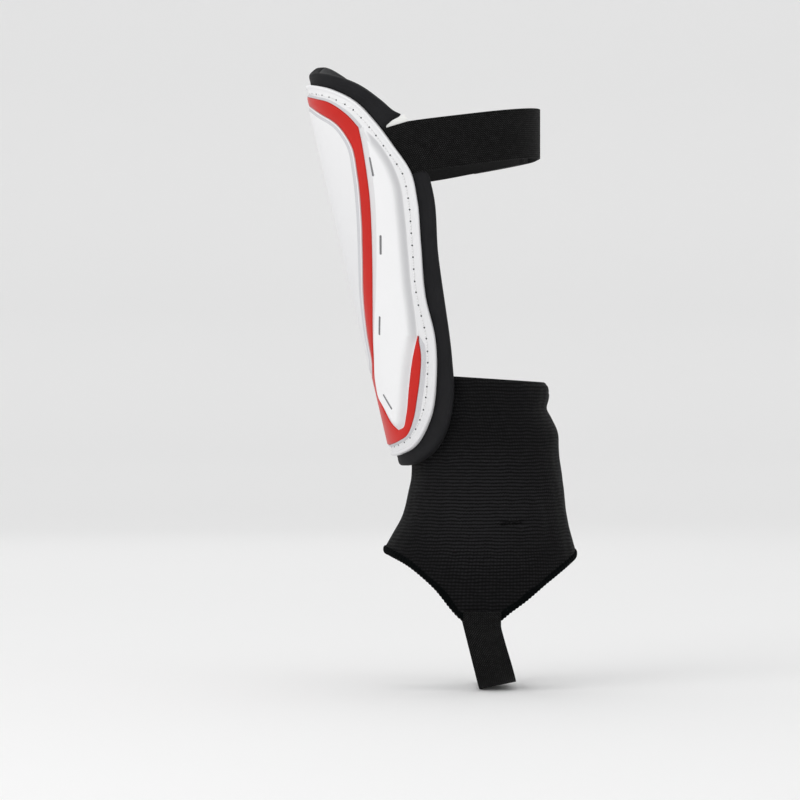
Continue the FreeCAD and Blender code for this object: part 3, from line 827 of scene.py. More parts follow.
class SHINGUARD_OT_shell(bpy.types.Operator):
    """Moulded shell: flange with a rounded lip, pierced for its row of stitches"""
    bl_idname = "shinguard.shell"
    bl_label = "Shell"

    def execute(self, context):
        settings = context.scene.shin_guard.guard
        lip = settings.lip_height / MM
        low = foam_face + glue_gap
        top = shell_face
        rings = [(9.0, low), (1.2, low), (0.5, low + 0.1), (0.12, low + 0.4), (0.0, low + 0.9),
                 (0.0, top - 0.6), (0.02, top + 0.35 * lip), (0.15, top + 0.68 * lip),
                 (0.42, top + 0.9 * lip), (0.8, top + lip), (1.2, top + 0.97 * lip), (1.6, top + 0.8 * lip),
                 (1.95, top + 0.5 * lip), (2.25, top + 0.22 * lip), (2.6, top + 0.05 * lip), (3.1, top),
                 (4.1, top), (5.5, top), (6.8, top), (9.0, top - 0.1)]
        ring = shell_ring()
        piece = ring_plate("shell_flange", ring, rings)
        row = beside(ring, stitch_inset, closed=True)
        pegs = [peg(where, face_way(guard_point, *spot), 0.6, 2.6)
                for spot, where, _ in walk(row, stitch_pitch, top)]
        materials = bpy.data.materials
        finish_piece(piece, "guard", materials["moulded_polypropylene"], "white_shell", "shell")
        piece.data.materials.append(materials["hole_wall_painted_shade"])
        cut_holes(piece, pegs, materials["hole_wall_painted_shade"])
        smooth(piece, 50.0)
        return {"FINISHED"}


def spread(width, near_edges, far_edges, middle_count):
    """Column places across a strip: fixed distances from each side and even ones between."""
    near_scale = min(1.0, 0.6 * width / near_edges[-1])
    far_scale = min(1.0, 0.3 * width / far_edges[-1])
    left = [d * near_scale for d in near_edges]
    right = [width - d * far_scale for d in reversed(far_edges)]
    between = [left[-1] + (right[0] - left[-1]) * (k + 1) / (middle_count + 1) for k in range(middle_count)]
    return left + between + right


def line_at(line, z):
    """Angle and steepness of a line that falls all the way, at a height."""
    falling = line[::-1]
    angle = float(np.interp(z, falling[:, 1], falling[:, 0]))
    below = float(np.interp(z - 0.6, falling[:, 1], falling[:, 0]))
    above = float(np.interp(z + 0.6, falling[:, 1], falling[:, 0]))
    run = (above - below) * mm_per_degree(guard_point, angle, z)
    return angle, max(1.2 / math.hypot(run, 1.2), 0.5)


ridge_place = 5.6
flank_root = 0.75
flank_petal_run = 7.0
flank_foot_run = 6.2
flank_settle = 0.25
flank_settle_run = 4.0
# flank_tip and flank_fade only shape where the flanks' painted shade lies
flank_tip = guard_bottom + 0.835 * guard_height
flank_fade = (guard_bottom + 0.2 * guard_height, guard_bottom + 0.44 * guard_height)
flank_near = [0.0, 0.3, 0.8, 1.8, 3.0, 4.0, 4.8, 5.2, 5.6, 6.2, 7.2, 8.8]
flank_far = [0.0, 0.5, 1.1, 1.7, 2.3, 2.9, 3.5, 4.1, 4.8, 5.6, 6.6, 8.0]


def flank_height(near, far, on_petal, rise):
    """Height over the flange: a straight ramp to the ridge, a crown, and a soft S down to the flange."""
    ramp = flank_root + (rise - flank_root) * min(near / ridge_place, 1.0)
    if near > ridge_place:
        ramp = rise - flank_settle * (1.0 - math.exp(-(near - ridge_place) / flank_settle_run))
    if on_petal:
        other = flank_root + (rise - flank_root) * ease(far / flank_petal_run)
    else:
        other = rise * ease(far / flank_foot_run)
    return min(ramp, other)


def flank_sheet(side, rise):
    """Face of one flank panel. Its map carries painted shade: strong down the outer slope, and half as
    strong on the ramp beside the inlay."""
    inner = smooth_line(heights(red_side), step=0.4)
    foot = smooth_line(heights(flank_foot), step=0.4)
    petal = smooth_line(heights(petal_inner), step=0.4)[::-1]
    outer = np.concatenate([foot, petal[1:]])
    petal_tip = petal[0][1]
    top, bottom = inner[0][1] - 0.05, inner[-1][1] + 0.05
    rows = 250
    count = len(flank_near) + len(flank_far) + 10
    table = []
    for j in range(rows + 1):
        z = top + (bottom - top) * j / rows
        near_angle, near_steep = line_at(inner, z)
        far_angle, far_steep = line_at(outer, z)
        scale = mm_per_degree(guard_point, 0.5 * (near_angle + far_angle), z)
        width = max((far_angle - near_angle) * scale, 0.05)
        near_edges = [d / near_steep for d in flank_near]
        far_edges = [d / far_steep for d in flank_far]
        row = []
        for place in spread(width, near_edges, far_edges, 10):
            near = place * near_steep
            far = (width - place) * far_steep
            blend = ease((petal_tip + 4.0 - z) / 12.0)
            on_foot = flank_height(near, far, False, rise)
            on_petal = flank_height(near, far, True, rise)
            # painted shade: a half-strength grey band on the ramp up to edge, fading in between the
            # flank_fade heights and drawing back above flank_tip, and a full one down the outer side, weaker
            # by the petal
            edge = ridge_place * ease((z - flank_fade[0]) / (flank_fade[1] - flank_fade[0]))
            edge -= 2.1 * ease((z - flank_tip) / 6.5)
            slope = ease(far / 1.2) * (1.0 - ease((far - 1.8) / 4.6)) * (1.0 - 0.4 * blend)
            slope *= ease((near - edge) / 2.0)
            painted_shade = max(slope, 0.5 * (1.0 - ease((near - edge + 0.4) / 0.4)))
            row.append((near_angle + place / scale, z, on_foot + (on_petal - on_foot) * blend, painted_shade))
        table.append(row)

    def place(i, j):
        angle, z, up = table[j][i][:3]
        return guard_point(side * angle, z, shell_face + up)

    def measure(i, j):
        return table[j][i][3], 0.0

    return lattice("flank", count - 1, rows, place, measure)


def slot_tool(side, angle, share, slant):
    """Closed tool for one vent: a long rounded slot square to the form."""
    z = guard_bottom + share * guard_height
    bpy.ops.object.select_all(action="DESELECT")
    bpy.ops.mesh.primitive_cube_add(size=1.0)
    tool = bpy.context.object
    way = face_way(guard_point, side * angle, z)
    along = (guard_point(side * angle, z + 0.5, shell_face) - guard_point(side * angle, z - 0.5, shell_face))
    across = along.cross(way).normalized()
    along.normalize()
    lean = math.radians(side * slant)
    long_way = along * math.cos(lean) + across * math.sin(lean)
    wide_way = way.cross(long_way).normalized()
    middle = guard_point(side * angle, z, shell_face + vent_floor + 0.5 * vent_cut)
    for corner in tool.data.vertices:
        x, y, t = corner.co
        offset = wide_way * x * vent_width + long_way * y * vent_length + way * t * vent_cut
        corner.co = middle + offset * MM
    modify(tool, "BEVEL", width=0.45 * vent_width * MM, segments=3, limit_method="ANGLE")
    outward(tool)
    return tool


class SHINGUARD_OT_flanks(bpy.types.Operator):
    """Flank panels: one each side, ramped up from the inlay to a ridge with four vents"""
    bl_idname = "shinguard.flanks"
    bl_label = "Flank panels"

    def execute(self, context):
        rise = context.scene.shin_guard.guard.flank_rise / MM
        materials = bpy.data.materials
        finishes = (materials["moulded_polypropylene"], materials["grained_polypropylene_painted_shade"],
                    materials["hole_wall_painted_shade"])
        for side, name in ((1, "flank_panel_outer"), (-1, "flank_panel_inner")):
            piece = flank_sheet(side, rise)
            piece.name = name
            face_out(piece)
            modify(piece, "SOLIDIFY", thickness=1.6 * MM, offset=-1.0)
            finish_piece(piece, "guard", finishes, "white_shell", "shell")
            cut_holes(piece, [slot_tool(side, *vent) for vent in vents], materials["hole_wall_painted_shade"])
            smooth(piece, 30.0)
        return {"FINISHED"}


def nearest(line, target):
    goal = np.array((target[0], guard_bottom + target[1] * guard_height))
    return int(np.argmin(np.linalg.norm(line - goal, axis=1)))


def matched(line, marks, counts):
    """The line cut at the marks and evenly spread in each part, so that two lines match place by place."""
    cuts = [nearest(line, mark) for mark in marks]
    parts = [even_line(line[a:b + 1], n + 1)[:-1] for a, b, n in zip(cuts, cuts[1:], counts)]
    return np.concatenate(parts + [line[cuts[-1]:cuts[-1] + 1]])


def inlay_rails():
    """Both edges of the inlay's near half, matched place by place."""
    outer = np.concatenate([smooth_line(heights(red_top)), smooth_line(heights(red_side))[1:],
                            smooth_line(heights(petal_inner))[1:]])
    panel = smooth_line(heights(panel_edge), True)
    low = smooth_line(heights(red_low))[::-1]
    centre = np.array([(0.0, guard_bottom + guard_height * s) for s in np.linspace(0.212, 0.029, 60)])
    inner = np.concatenate([panel, centre, low])
    counts = (70, 150, 34, 50, 84)
    outer_marks = [(0, 0.972), (53.8, 0.872), (21, 0.278), (11.5, 0.154), (31.5, 0.069), (64, 0.320)]
    inner_marks = [(0, 0.945), (44, 0.852), (15, 0.275), (0, 0.150), (29, 0.040), (64, 0.320)]
    return matched(outer, outer_marks, counts), matched(inner, inner_marks, counts)


class SHINGUARD_OT_inlay(bpy.types.Operator):
    """Lacquered inlay: a band round the centre panel that ends in two petals"""
    bl_idname = "shinguard.inlay"
    bl_label = "Inlay"

    def execute(self, context):
        rise = context.scene.shin_guard.guard.inlay_rise / MM
        outer, inner = inlay_rails()
        spots = (0.0, 0.25, 0.7, 1.4)
        halves = []
        for side in (1, -1):
            table = []
            for (oa, oz), (ia, iz) in zip(outer, inner):
                scale = mm_per_degree(guard_point, 0.5 * (oa + ia), oz)
                width = max(math.hypot((oa - ia) * scale, oz - iz), 0.02)
                on_centre = abs(ia) < 0.01 and iz < guard_bottom + 0.2128 * guard_height
                row = []
                for place in spread(width, spots, spots, 6):
                    share = place / width
                    near = 9.0 if on_centre else place
                    edge = min(near, width - place)
                    up = rise - 0.55 * math.exp(-((edge / 0.45) ** 2)) + 0.25 * ease(edge / 5.0)
                    row.append((ia + (oa - ia) * share, iz + (oz - iz) * share, up))
                table.append(row)

            def place(i, j, table=table, side=side):
                angle, z, up = table[j][i]
                return guard_point(side * angle, z, shell_face + up)

            half = lattice("inlay", len(table[0]) - 1, len(table) - 1, place)
            face_out(half)
            halves.append(half)
        piece = join_halves(halves, "lacquered_inlay", 1.1)
        finish_piece(piece, "guard", bpy.data.materials["lacquered_inlay"], "red_inlay", "red_inlay")
        smooth(piece, 35.0)
        return {"FINISHED"}


bevel_gap = 0.3


def bevel_strip(name, rail, width, high, low_end, slim):
    """White bevel on the outer side of the inlay's edge, mirrored to both sides, finished in the spark-eroded
    plastic whose pale grey is painted shade. low_end lowers it towards an end, and slim narrows it by the
    angle."""
    steps = (0.0, 0.25, 0.6, 1.0, 1.5, 2.0, 2.5, 3.0)
    halves = []
    narrow = np.array([[slim(angle)] for angle, _ in rail])
    lines = [rail + narrow * (beside(rail, -bevel_gap - width * d / steps[-1], reach=4) - rail)
             for d in steps]
    for line in lines:
        for end in (0, -1):
            if abs(rail[end][0]) < 0.01:
                line[end][0] = 0.0
    for side in (1, -1):
        def place(i, j, side=side):
            angle, z = lines[i][j]
            share = steps[i] / steps[-1]
            up = high * (1.0 - ease(share)) - 0.25 * math.exp(-((share / 0.06) ** 2)) - low_end(j, len(rail))
            return guard_point(side * angle, z, shell_face + up)

        half = lattice(name, len(steps) - 1, len(rail) - 1, place)
        face_out(half)
        halves.append(half)
    piece = join_halves(halves, name, 1.0)
    finish_piece(piece, "guard", bpy.data.materials["grained_polypropylene_painted_shade"], "white_shell", "shell")
    smooth(piece, 50.0)


class SHINGUARD_OT_bevels(bpy.types.Operator):
    """Bevels of the shell's raised middle, above and below the inlay"""
    bl_idname = "shinguard.bevels"
    bl_label = "Bevels round the inlay"

    def execute(self, context):
        shoulder = smooth_line(heights(red_side))[1:16]
        crown = even_line(np.concatenate([smooth_line(heights(red_top)), shoulder]), 110)
        bevel_strip("crown_bevel", crown, 3.0, 1.35, lambda j, n: 1.5 * ease((j / n - 0.94) / 0.06),
                    lambda angle: 0.45 + 0.15 * ease((angle - 38.0) / 14.0))
        low = even_line(smooth_line(heights(red_low)), 170)
        bevel_strip("foot_bevel", low, 2.8, 1.3, lambda j, n: 1.2 * (1.0 - ease(j / n / 0.05)),
                    lambda angle: 0.4 + 0.6 * ease((angle - 36.0) / 16.0))
        return {"FINISHED"}


class SHINGUARD_OT_panel(bpy.types.Operator):
    """Centre panel of the shell, raised above the inlay with a narrow bevel; left plain"""
    bl_idname = "shinguard.panel"
    bl_label = "Centre panel"

    def execute(self, context):
        rise = context.scene.shin_guard.guard.panel_rise / MM
        ring = full_ring(even_line(smooth_line(heights(panel_edge), True), 260))
        base = shell_face
        rings = [(3.4, base), (0.3, base), (0.12, base + 0.3), (0.12, base + 1.45), (0.2, base + 1.68),
                 (0.45, base + 1.8), (0.9, base + 1.82), (1.4, base + 1.88), (2.2, base + 2.06),
                 (3.0, base + rise - 0.05), (3.4, base + rise)]
        # the bevel from 0.9 to 3.0 mm in takes the spark-eroded plastic, whose pale grey is painted shade
        piece = ring_plate("centre_panel", ring, rings, 12, painted_shade_layers=(6, 7, 8))
        finish_piece(piece, "guard", (bpy.data.materials["moulded_polypropylene"],
                                      bpy.data.materials["grained_polypropylene_painted_shade"]), "white_shell", "shell")
        smooth(piece, 30.0)
        return {"FINISHED"}


def foam_half(top, count=430):
    line = np.concatenate([smooth_line(heights(top)), smooth_line(heights(foam_notch))[1:],
                           smooth_line(heights(foam_notch_low))[1:], smooth_line(heights(foam_side))[1:]])
    line = even_line(line, count)
    for _ in range(2):
        line[1:-1] = 0.25 * line[:-2] + 0.5 * line[1:-1] + 0.25 * line[2:]
    return line


def strap_dip(angle, z):
    """1 where a strap is let into the foam's face, 0 elsewhere."""
    side = abs(angle)
    if side < tuck_angle - 3.0:
        return 0.0
    inside = 0.5 * strap_width - 0.3 - abs(z - strap_height(side))
    return ease(inside / 0.8) * ease((side - tuck_angle + 3.0) / 2.0)


class SHINGUARD_OT_foam(bpy.types.Operator):
    """Foam backing with a rounded edge, let in for the straps, and its brushed lining"""
    bl_idname = "shinguard.foam"
    bl_label = "Foam backing and lining"

    def execute(self, context):
        ring = full_ring(foam_half(foam_top), foam_half(foam_top_far))
        low = lining_wall + glue_gap
        face = foam_face
        rings = [(9.0, low), (1.2, low), (0.4, low + 0.12), (0.08, low + 0.5), (0.0, low + 1.1),
                 (0.0, face - 2.2), (0.1, face - 1.5), (0.4, face - 0.85), (0.9, face - 0.4),
                 (1.5, face - 0.14), (2.2, face - 0.04), (3.0, face), (4.0, face - 0.02), (4.6, face - 0.12),
                 (5.2, face - 0.02), (6.5, face), (9.0, face), (13.0, face)]
        piece = ring_plate("foam_backing_pad", ring, rings)
        drop = foam_face - strap_seat + 0.3
        for corner in piece.data.vertices:
            z = corner.co.z / MM
            middle, front, back, half = leg_form(z)
            x, y = corner.co.x / MM, corner.co.y / MM
            turn = math.atan2(x / (half + face), (middle - y) / ((front if y < middle else back) + face))
            out = x / math.sin(turn) - half if abs(turn) > 0.3 else 0.0
            angle = math.degrees(turn)
            if out > face - drop:
                dip = strap_dip(angle, z)
                if dip > 0.0:
                    corner.co = guard_point(angle, z, out - dip * max(out - (face - drop), 0.0))
        finish_piece(piece, "guard", bpy.data.materials["eva_foam"], "black_foam", "foam_backing")
        smooth(piece, 55.0)
        inner = beside(ring, 0.4, closed=True)
        sheet = ring_plate("brushed_lining", inner, [(9.0, 0.0), (1.0, 0.0), (0.25, 0.1), (0.0, 0.4),
                                                     (0.25, 0.7), (1.0, lining_wall), (9.0, lining_wall)])
        finish_piece(sheet, "guard", bpy.data.materials["brushed_nylon"], "brushed_lining", "backing_lining")
        smooth(sheet, 60.0)
        return {"FINISHED"}


# ---- threads, label
def threads(name, places, radius, length, body, material, slot, node, dip=0.5):
    """Short sewn threads, each an arch that dives at both ends: (middle, direction, way out)."""
    around, along = 6, 8
    made = []
    for k, (middle, way, out) in enumerate(places):
        side = way.cross(out).normalized()

        def place(i, j, middle=middle, way=way, out=out, side=side):
            share = 2.0 * i / along - 1.0
            turn = full_turn(j, around)
            thick = radius * (1.0 - 0.25 * abs(share) ** 3) if 0 < i < along else 0.0
            spine = middle + way * (0.5 * length * share * MM) - out * (dip * abs(share) ** 3 * MM)
            return spine + (side * math.cos(turn) + out * math.sin(turn)) * (thick * MM)

        made.append(lattice(name + "_" + str(k), along, around, place))
    piece = join(made, name)
    outward(piece)
    finish_piece(piece, body, material, slot, node)
    smooth(piece, 60.0)


class SHINGUARD_OT_stitching(bpy.types.Operator):
    """Threads: round the shell, across the strap's tab, at the stirrup's ends and along the guard's seam"""
    bl_idname = "shinguard.stitching"
    bl_label = "Stitching"

    def execute(self, context):
        white, black = bpy.data.materials["white_polyester"], bpy.data.materials["black_polyester"]
        row = beside(shell_ring(), stitch_inset, closed=True)
        spots = walk(row, stitch_pitch, shell_face + 0.12)
        places = []
        for k, (spot, where, _) in enumerate(spots):
            other = spots[(k + 1) % len(spots)]
            way = (other[1] - where).normalized()
            out = face_way(guard_point, *spot)
            places.append((0.5 * (where + other[1]) + out * 0.05 * MM, way, out))
        threads("shell_thread", places, 0.34, stitch_pitch - 1.3, "guard", white, "white_thread",
                "shell_stitching", 0.3)
        tab = []
        sewn_angle, count = tab_angle + 5.0, 7
        for k in range(count):
            across = strap_width * ((k + 0.5) / count - 0.5)
            middle = hooked_point(sewn_angle, across, strap_thick + 0.1)
            way = (hooked_point(sewn_angle, across + 1.0, strap_thick + 0.1) - middle).normalized()
            out = (hooked_point(sewn_angle, across, strap_thick + 1.1) - middle).normalized()
            tab.append((middle, way, out))
        threads("tab_thread", tab, 0.35, 3.4, "strap_tab", black, "black_thread", "hook_tab_stitches")
        ends = []
        for side in (1, -1):
            for down in (2.5, 8.0):
                for k in range(6):
                    middle = stirrup_point(side * (stirrup_reach - down), (k - 2.5) * stirrup_width / 6.4,
                                           stirrup_thick + 0.1)
                    ends.append((middle, Vector((0, 1, 0)), Vector((side, 0, 0))))
        threads("stirrup_thread", ends, 0.35, 2.8, "stirrup", black, "black_thread", "stirrup_stitches")
        seam = []
        step = seam_pitch / mm_per_degree(sleeve_point, 0.0, seam_height)
        for k in range(-4, 5):
            middle = sleeve_point(k * step, seam_height, -sleeve_wall - 0.15)
            way = (sleeve_point(k * step + 1.0, seam_height, -sleeve_wall - 0.15) - middle).normalized()
            seam.append((middle, way, Vector((0, 1, 0))))
        threads("seam_thread", seam, 0.4, 5.0, "sleeve", black, "black_thread", "guard_seam_stitches")
        return {"FINISHED"}


class SHINGUARD_OT_label(bpy.types.Operator):
    """Blank woven label that shows in the notch above the strap"""
    bl_idname = "shinguard.label"
    bl_label = "Label"

    def execute(self, context):
        (a0, z0), (a1, z1), (a2, z2), (a3, z3) = label_corners
        size = 16

        def place(i, j):
            u, v = i / size, j / size
            angle = (a0 * (1 - u) + a1 * u) * (1 - v) + (a3 * (1 - u) + a2 * u) * v
            z = (z0 * (1 - u) + z1 * u) * (1 - v) + (z3 * (1 - u) + z2 * u) * v
            lift = 0.25 * math.sin(math.pi * v) * u
            return guard_point(angle, z, strap_seat - glue_gap + lift)

        piece = lattice("woven_label", size, size, place)
        face_out(piece)
        modify(piece, "SOLIDIFY", thickness=0.3 * MM, offset=-1.0)
        modify(piece, "BEVEL", width=0.08 * MM, segments=2, limit_method="ANGLE")
        finish_piece(piece, "guard", bpy.data.materials["woven_label"], "label", "size_label")
        smooth(piece)
        return {"FINISHED"}


# ---- straps
def band(name, point, start, end, width, thick, columns, middle_bulge=0.0, rows=22):
    """Flat webbing with rounded edges: a closed section run along a form."""
    half = 0.5 * width
    edge = 0.5 * thick
    section = []
    for k in range(rows):
        share = k / (rows - 1)
        across = -half + edge * 0.4 + (width - 0.8 * edge) * share
        section.append((across, thick + middle_bulge * math.sin(math.pi * share)))
    section += [(half - 0.05, 0.8 * thick), (half, edge), (half - 0.05, 0.2 * thick)]
    for k in reversed(range(rows)):
        share = k / (rows - 1)
        section.append((-half + edge * 0.4 + (width - 0.8 * edge) * share, 0.0))
    section += [(-half + 0.05, 0.2 * thick), (-half, edge), (-half + 0.05, 0.8 * thick)]
    count = len(section)
    run = [0.0]
    for i in range(columns):
        a = start + (end - start) * i / columns
        b = start + (end - start) * (i + 1) / columns
        run.append(run[-1] + (point(b, 0.0, thick) - point(a, 0.0, thick)).length)

    def place(i, j):
        at = start + (end - start) * i / columns
        across, out = section[j % count]
        return point(at, across, out)

    def measure(i, j):
        return run[i], section[j % count][0] * MM

    piece = lattice(name, columns, count, place, measure)
    cap(piece)
    outward(piece)
    return piece


def cap(piece):
    """Closes the open ends."""
    alone(piece)
    bpy.ops.object.mode_set(mode="EDIT")
    bpy.ops.mesh.select_all(action="DESELECT")
    bpy.ops.mesh.select_mode(type="EDGE")
    bpy.ops.mesh.select_non_manifold()
    bpy.ops.mesh.edge_face_add()
    bpy.ops.mesh.select_mode(type="VERT")
    bpy.ops.object.mode_set(mode="OBJECT")


class SHINGUARD_OT_calf_strap(bpy.types.Operator):
    """Calf strap: anchor, elastic that bends at the foam's side, loop-faced end and hook tab"""
    bl_idname = "shinguard.calf_strap"
    bl_label = "Calf strap"

    def execute(self, context):
        materials = bpy.data.materials
        gap = move_gap / mm_per_degree(guard_point, foam_side_angle, strap_middle)
        elastic = band("calf_strap_webbing", hooked_point, tuck_angle, tab_angle - 0.5 * gap, strap_width,
                       strap_thick, 180)
        finish_piece(elastic, "calf_strap", materials["elastic_webbing"], "black_elastic",
                     "calf_strap_anchor", "calf_strap_elastic")
        smooth(elastic, 50.0)
        elastic.parent = None
        strap_point(84.5, 0.0, 0.0)
        strap_point(91.5, 0.0, 0.0)
        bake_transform(elastic)
        loops = band("loop_strap", strap_point, loop_end_angle, 360.0 - tuck_angle, strap_width,
                     strap_thick, 110)
        finish_piece(loops, "guard", materials["loop_fastener"], "loop_tape", "calf_strap_loop_end")
        smooth(loops, 50.0)
        tab = band("hook_tab", hooked_point, tab_angle + 0.5 * gap, tab_end_angle, strap_width,
                   strap_thick, 50)
        finish_piece(tab, "strap_tab", materials["hook_fastener"], "hook_tape", "calf_strap_hook_tab")
        smooth(tab, 50.0)
        return {"FINISHED"}


class SHINGUARD_OT_stirrup(bpy.types.Operator):
    """Elastic stirrup under the foot"""
    bl_idname = "shinguard.stirrup"
    bl_label = "Stirrup"

    def execute(self, context):
        piece = band("stirrup_webbing", stirrup_point, -stirrup_reach, stirrup_reach, stirrup_width,
                     stirrup_thick, 150)
        finish_piece(piece, "stirrup", bpy.data.materials["elastic_webbing"], "black_elastic",
                     "stirrup_elastic")
        smooth(piece, 50.0)
        return {"FINISHED"}


# ---- ankle sleeve
def sleeve_bottom():
    """Lower edge of the knit all the way round: height at each degree."""
    instep = smooth_line(instep_edge, step=0.5)
    heel = smooth_line(heel_edge, step=0.5)
    angles = np.concatenate([instep[:, 0], [83.0, 99.0], heel[:, 0]])
    lows = np.concatenate([instep[:, 1] + 2.5, [tongue_bottom + 0.5, tongue_bottom + 0.5], heel[:, 1] + 2.5])
    return angles, lows


def hump(value, middle, width):
    return math.exp(-(((value - middle) / width) ** 2))


ankle_scale = 0.67  # mm to a degree round the ankle
pinch_angle, pinch_height = 107.0, -13.0
knit_girth = 0.27  # metres of knit round the sleeve, for its own map


def knit_shape(angle, z):
    """How far the worn knit stands out from its even form: over the disc, pinched behind it, wavy above the
    edging, uneven all over, folded at the back, and drawn in at the hem and the top edge."""
    side = near_side(angle)
    off = math.hypot((side - disc_angle) * ankle_scale, z - disc_height)
    out = 0.9 * ease((disc_radius + 5.0 - off) / 7.0)
    pinch_run = (side - pinch_angle) * ankle_scale
    pinch_rise = z - pinch_height - 0.12 * pinch_run
    inside = ease((6.5 - abs(pinch_run)) / 3.0)
    out -= 3.4 * inside * hump(pinch_rise, 0.0, 1.3)
    out += 1.6 * inside * (hump(pinch_rise, 2.8, 1.8) + 0.9 * hump(pinch_rise, -3.2, 2.2))
    drop = ease((-38.0 - z) / 30.0)
    out += 0.35 * drop * math.sin((side - 91.0) * 0.42) * ease(abs(side - 91.0) / 4.0)
    out += 0.5 * noise.noise(Vector((side * 0.06, z * 0.035, 3.0)))
    out += 0.22 * noise.noise(Vector((side * 0.15, z * 0.12, 7.0)))
    down = sleeve_rim(angle) - z
    behind = ease((side - 118.0) / 40.0)
    out += behind * (2.0 * hump(z, 67.0, 7.0) - 1.0 * hump(z, 57.0, 3.5) + 1.5 * hump(z, 43.0, 8.0)
                     + 1.1 * hump(z, 10.0, 26.0))
    out -= 0.35 * hump(down, hem_height, 0.7) + 1.1 * ease((2.4 - down) / 2.4)
    return out


class SHINGUARD_OT_sleeve(bpy.types.Operator):
    """Ankle sleeve: a worn ribbed knit with its hem and rolled edging"""
    bl_idname = "shinguard.sleeve"
    bl_label = "Ankle sleeve"

    def execute(self, context):
        settings = context.scene.shin_guard.soft
        materials = bpy.data.materials
        angles, lows = sleeve_bottom()
        columns, rows = 288, 120
        section = [(j / rows, 0.0) for j in range(rows + 1)]
        section += [(1.0, -0.5 * sleeve_wall)]
        section += [(j / 40.0, -sleeve_wall) for j in reversed(range(41))]
        section += [(0.0, -0.5 * sleeve_wall)]

        def spot(i, j):
            angle = 360.0 * (i % columns) / columns
            share, out = section[j % len(section)]
            top = sleeve_rim(angle)
            low = float(np.interp(near_side(angle), angles, lows))
            rounding = 0.5 if out == -0.5 * sleeve_wall else 0.0
            z = top + (low - top) * share + (rounding if share == 0.0 else -rounding)
            return angle, z, out

        def place(i, j):
            angle, z, out = spot(i, j)
            return sleeve_point(angle, z, out + (knit_shape(angle, z) if z > sleeve_plain_below else 0.0))

        def measure(i, j):
            return knit_girth * i / columns, spot(i, j)[1] * MM

        piece = lattice("ribbed_sleeve", columns, len(section), place, measure)
        outward(piece)
        finish_piece(piece, "sleeve", materials["ribbed_knit"], "black_knit", "ankle_sleeve")
        smooth(piece, 60.0)
        hem = self.hem()
        finish_piece(hem, "sleeve", materials["ribbed_knit"], "black_knit", "sleeve_top_hem")
        smooth(hem, 60.0)
        for name, line, node in (("instep_edging_roll", instep_edge + [(84.0, -77.5)], "instep_edging"),
                                 ("heel_edging_roll", [(98.0, -77.5)] + heel_edge, "heel_edging")):
            roll = self.edging(name, line, settings.scallop_pitch / MM)
            finish_piece(roll, "sleeve", materials["rolled_elastic"], "edging_elastic", node)
            smooth(roll, 60.0)
        return {"FINISHED"}

    def hem(self):
        """Turned-in band inside the top edge."""
        columns = 180
        section = [(0.3, -1.6), (0.0, -1.9), (0.4, -2.2), (3.0, -2.25), (5.4, -2.2), (hem_height, -1.9),
                   (5.4, -1.6), (3.0, -1.55)]

        def place(i, j):
            angle = 360.0 * (i % columns) / columns
            down, out = section[j % len(section)]
            z = sleeve_rim(angle) - down
            return sleeve_point(angle, z, out + min(knit_shape(angle, z), 0.0))

        def measure(i, j):
            return knit_girth * i / columns, section[j % len(section)][0] * MM

        piece = lattice("turned_hem", columns, len(section), place, measure)
        outward(piece)
        return piece

    def edging(self, name, points, pitch):
        """Rolled elastic band, scalloped by its overlock stitches."""
        half = smooth_line(points, step=0.4)
        if points[0][0] == 0:
            line = np.concatenate([half[::-1] * np.array((-1.0, 1.0)), half[1:]])
        else:
            line = np.concatenate([half, np.array((360.0, 0.0)) + half[::-1][1:] * np.array((-1.0, 1.0))])
        line = even_line(line, 420)
        middle = beside(line, -0.5 * edging_width, sleeve_point, reach=3)
        length = 0.0
        runs = [0.0]
        for a, b in zip(middle, middle[1:]):
            length += (sleeve_point(*b, 0.0) - sleeve_point(*a, 0.0)).length / MM
            runs.append(length)
        around = 14
        last = len(middle) - 1

        def place(i, j):
            angle, z = middle[i]
            before, after = middle[max(i - 1, 0)], middle[min(i + 1, last)]
            centre = sleeve_point(angle, z, -0.5 * sleeve_wall)
            along = (sleeve_point(*after, 0.0) - sleeve_point(*before, 0.0)).normalized()
            out = (sleeve_point(angle, z, 1.0) - sleeve_point(angle, z, 0.0)).normalized()
            up = out.cross(along).normalized()
            turn = full_turn(j, around)
            tucked = 1.0 - 0.35 * ease(1.0 - min(runs[i], length - runs[i]) / 9.0)
            size = 0.0 if i in (0, last) else tucked * (0.8 + 0.2 * abs(math.sin(math.pi * runs[i] / pitch)))
            tall = 0.5 * edging_width * size * math.sin(turn)
            return centre + (up * tall + out * (0.5 * edging_thick * size * math.cos(turn))) * MM

        def measure(i, j):
            return runs[i] * MM, 12.0 * MM * (j % around) / around

        piece = lattice(name, last, around, place, measure)
        outward(piece)
        return piece


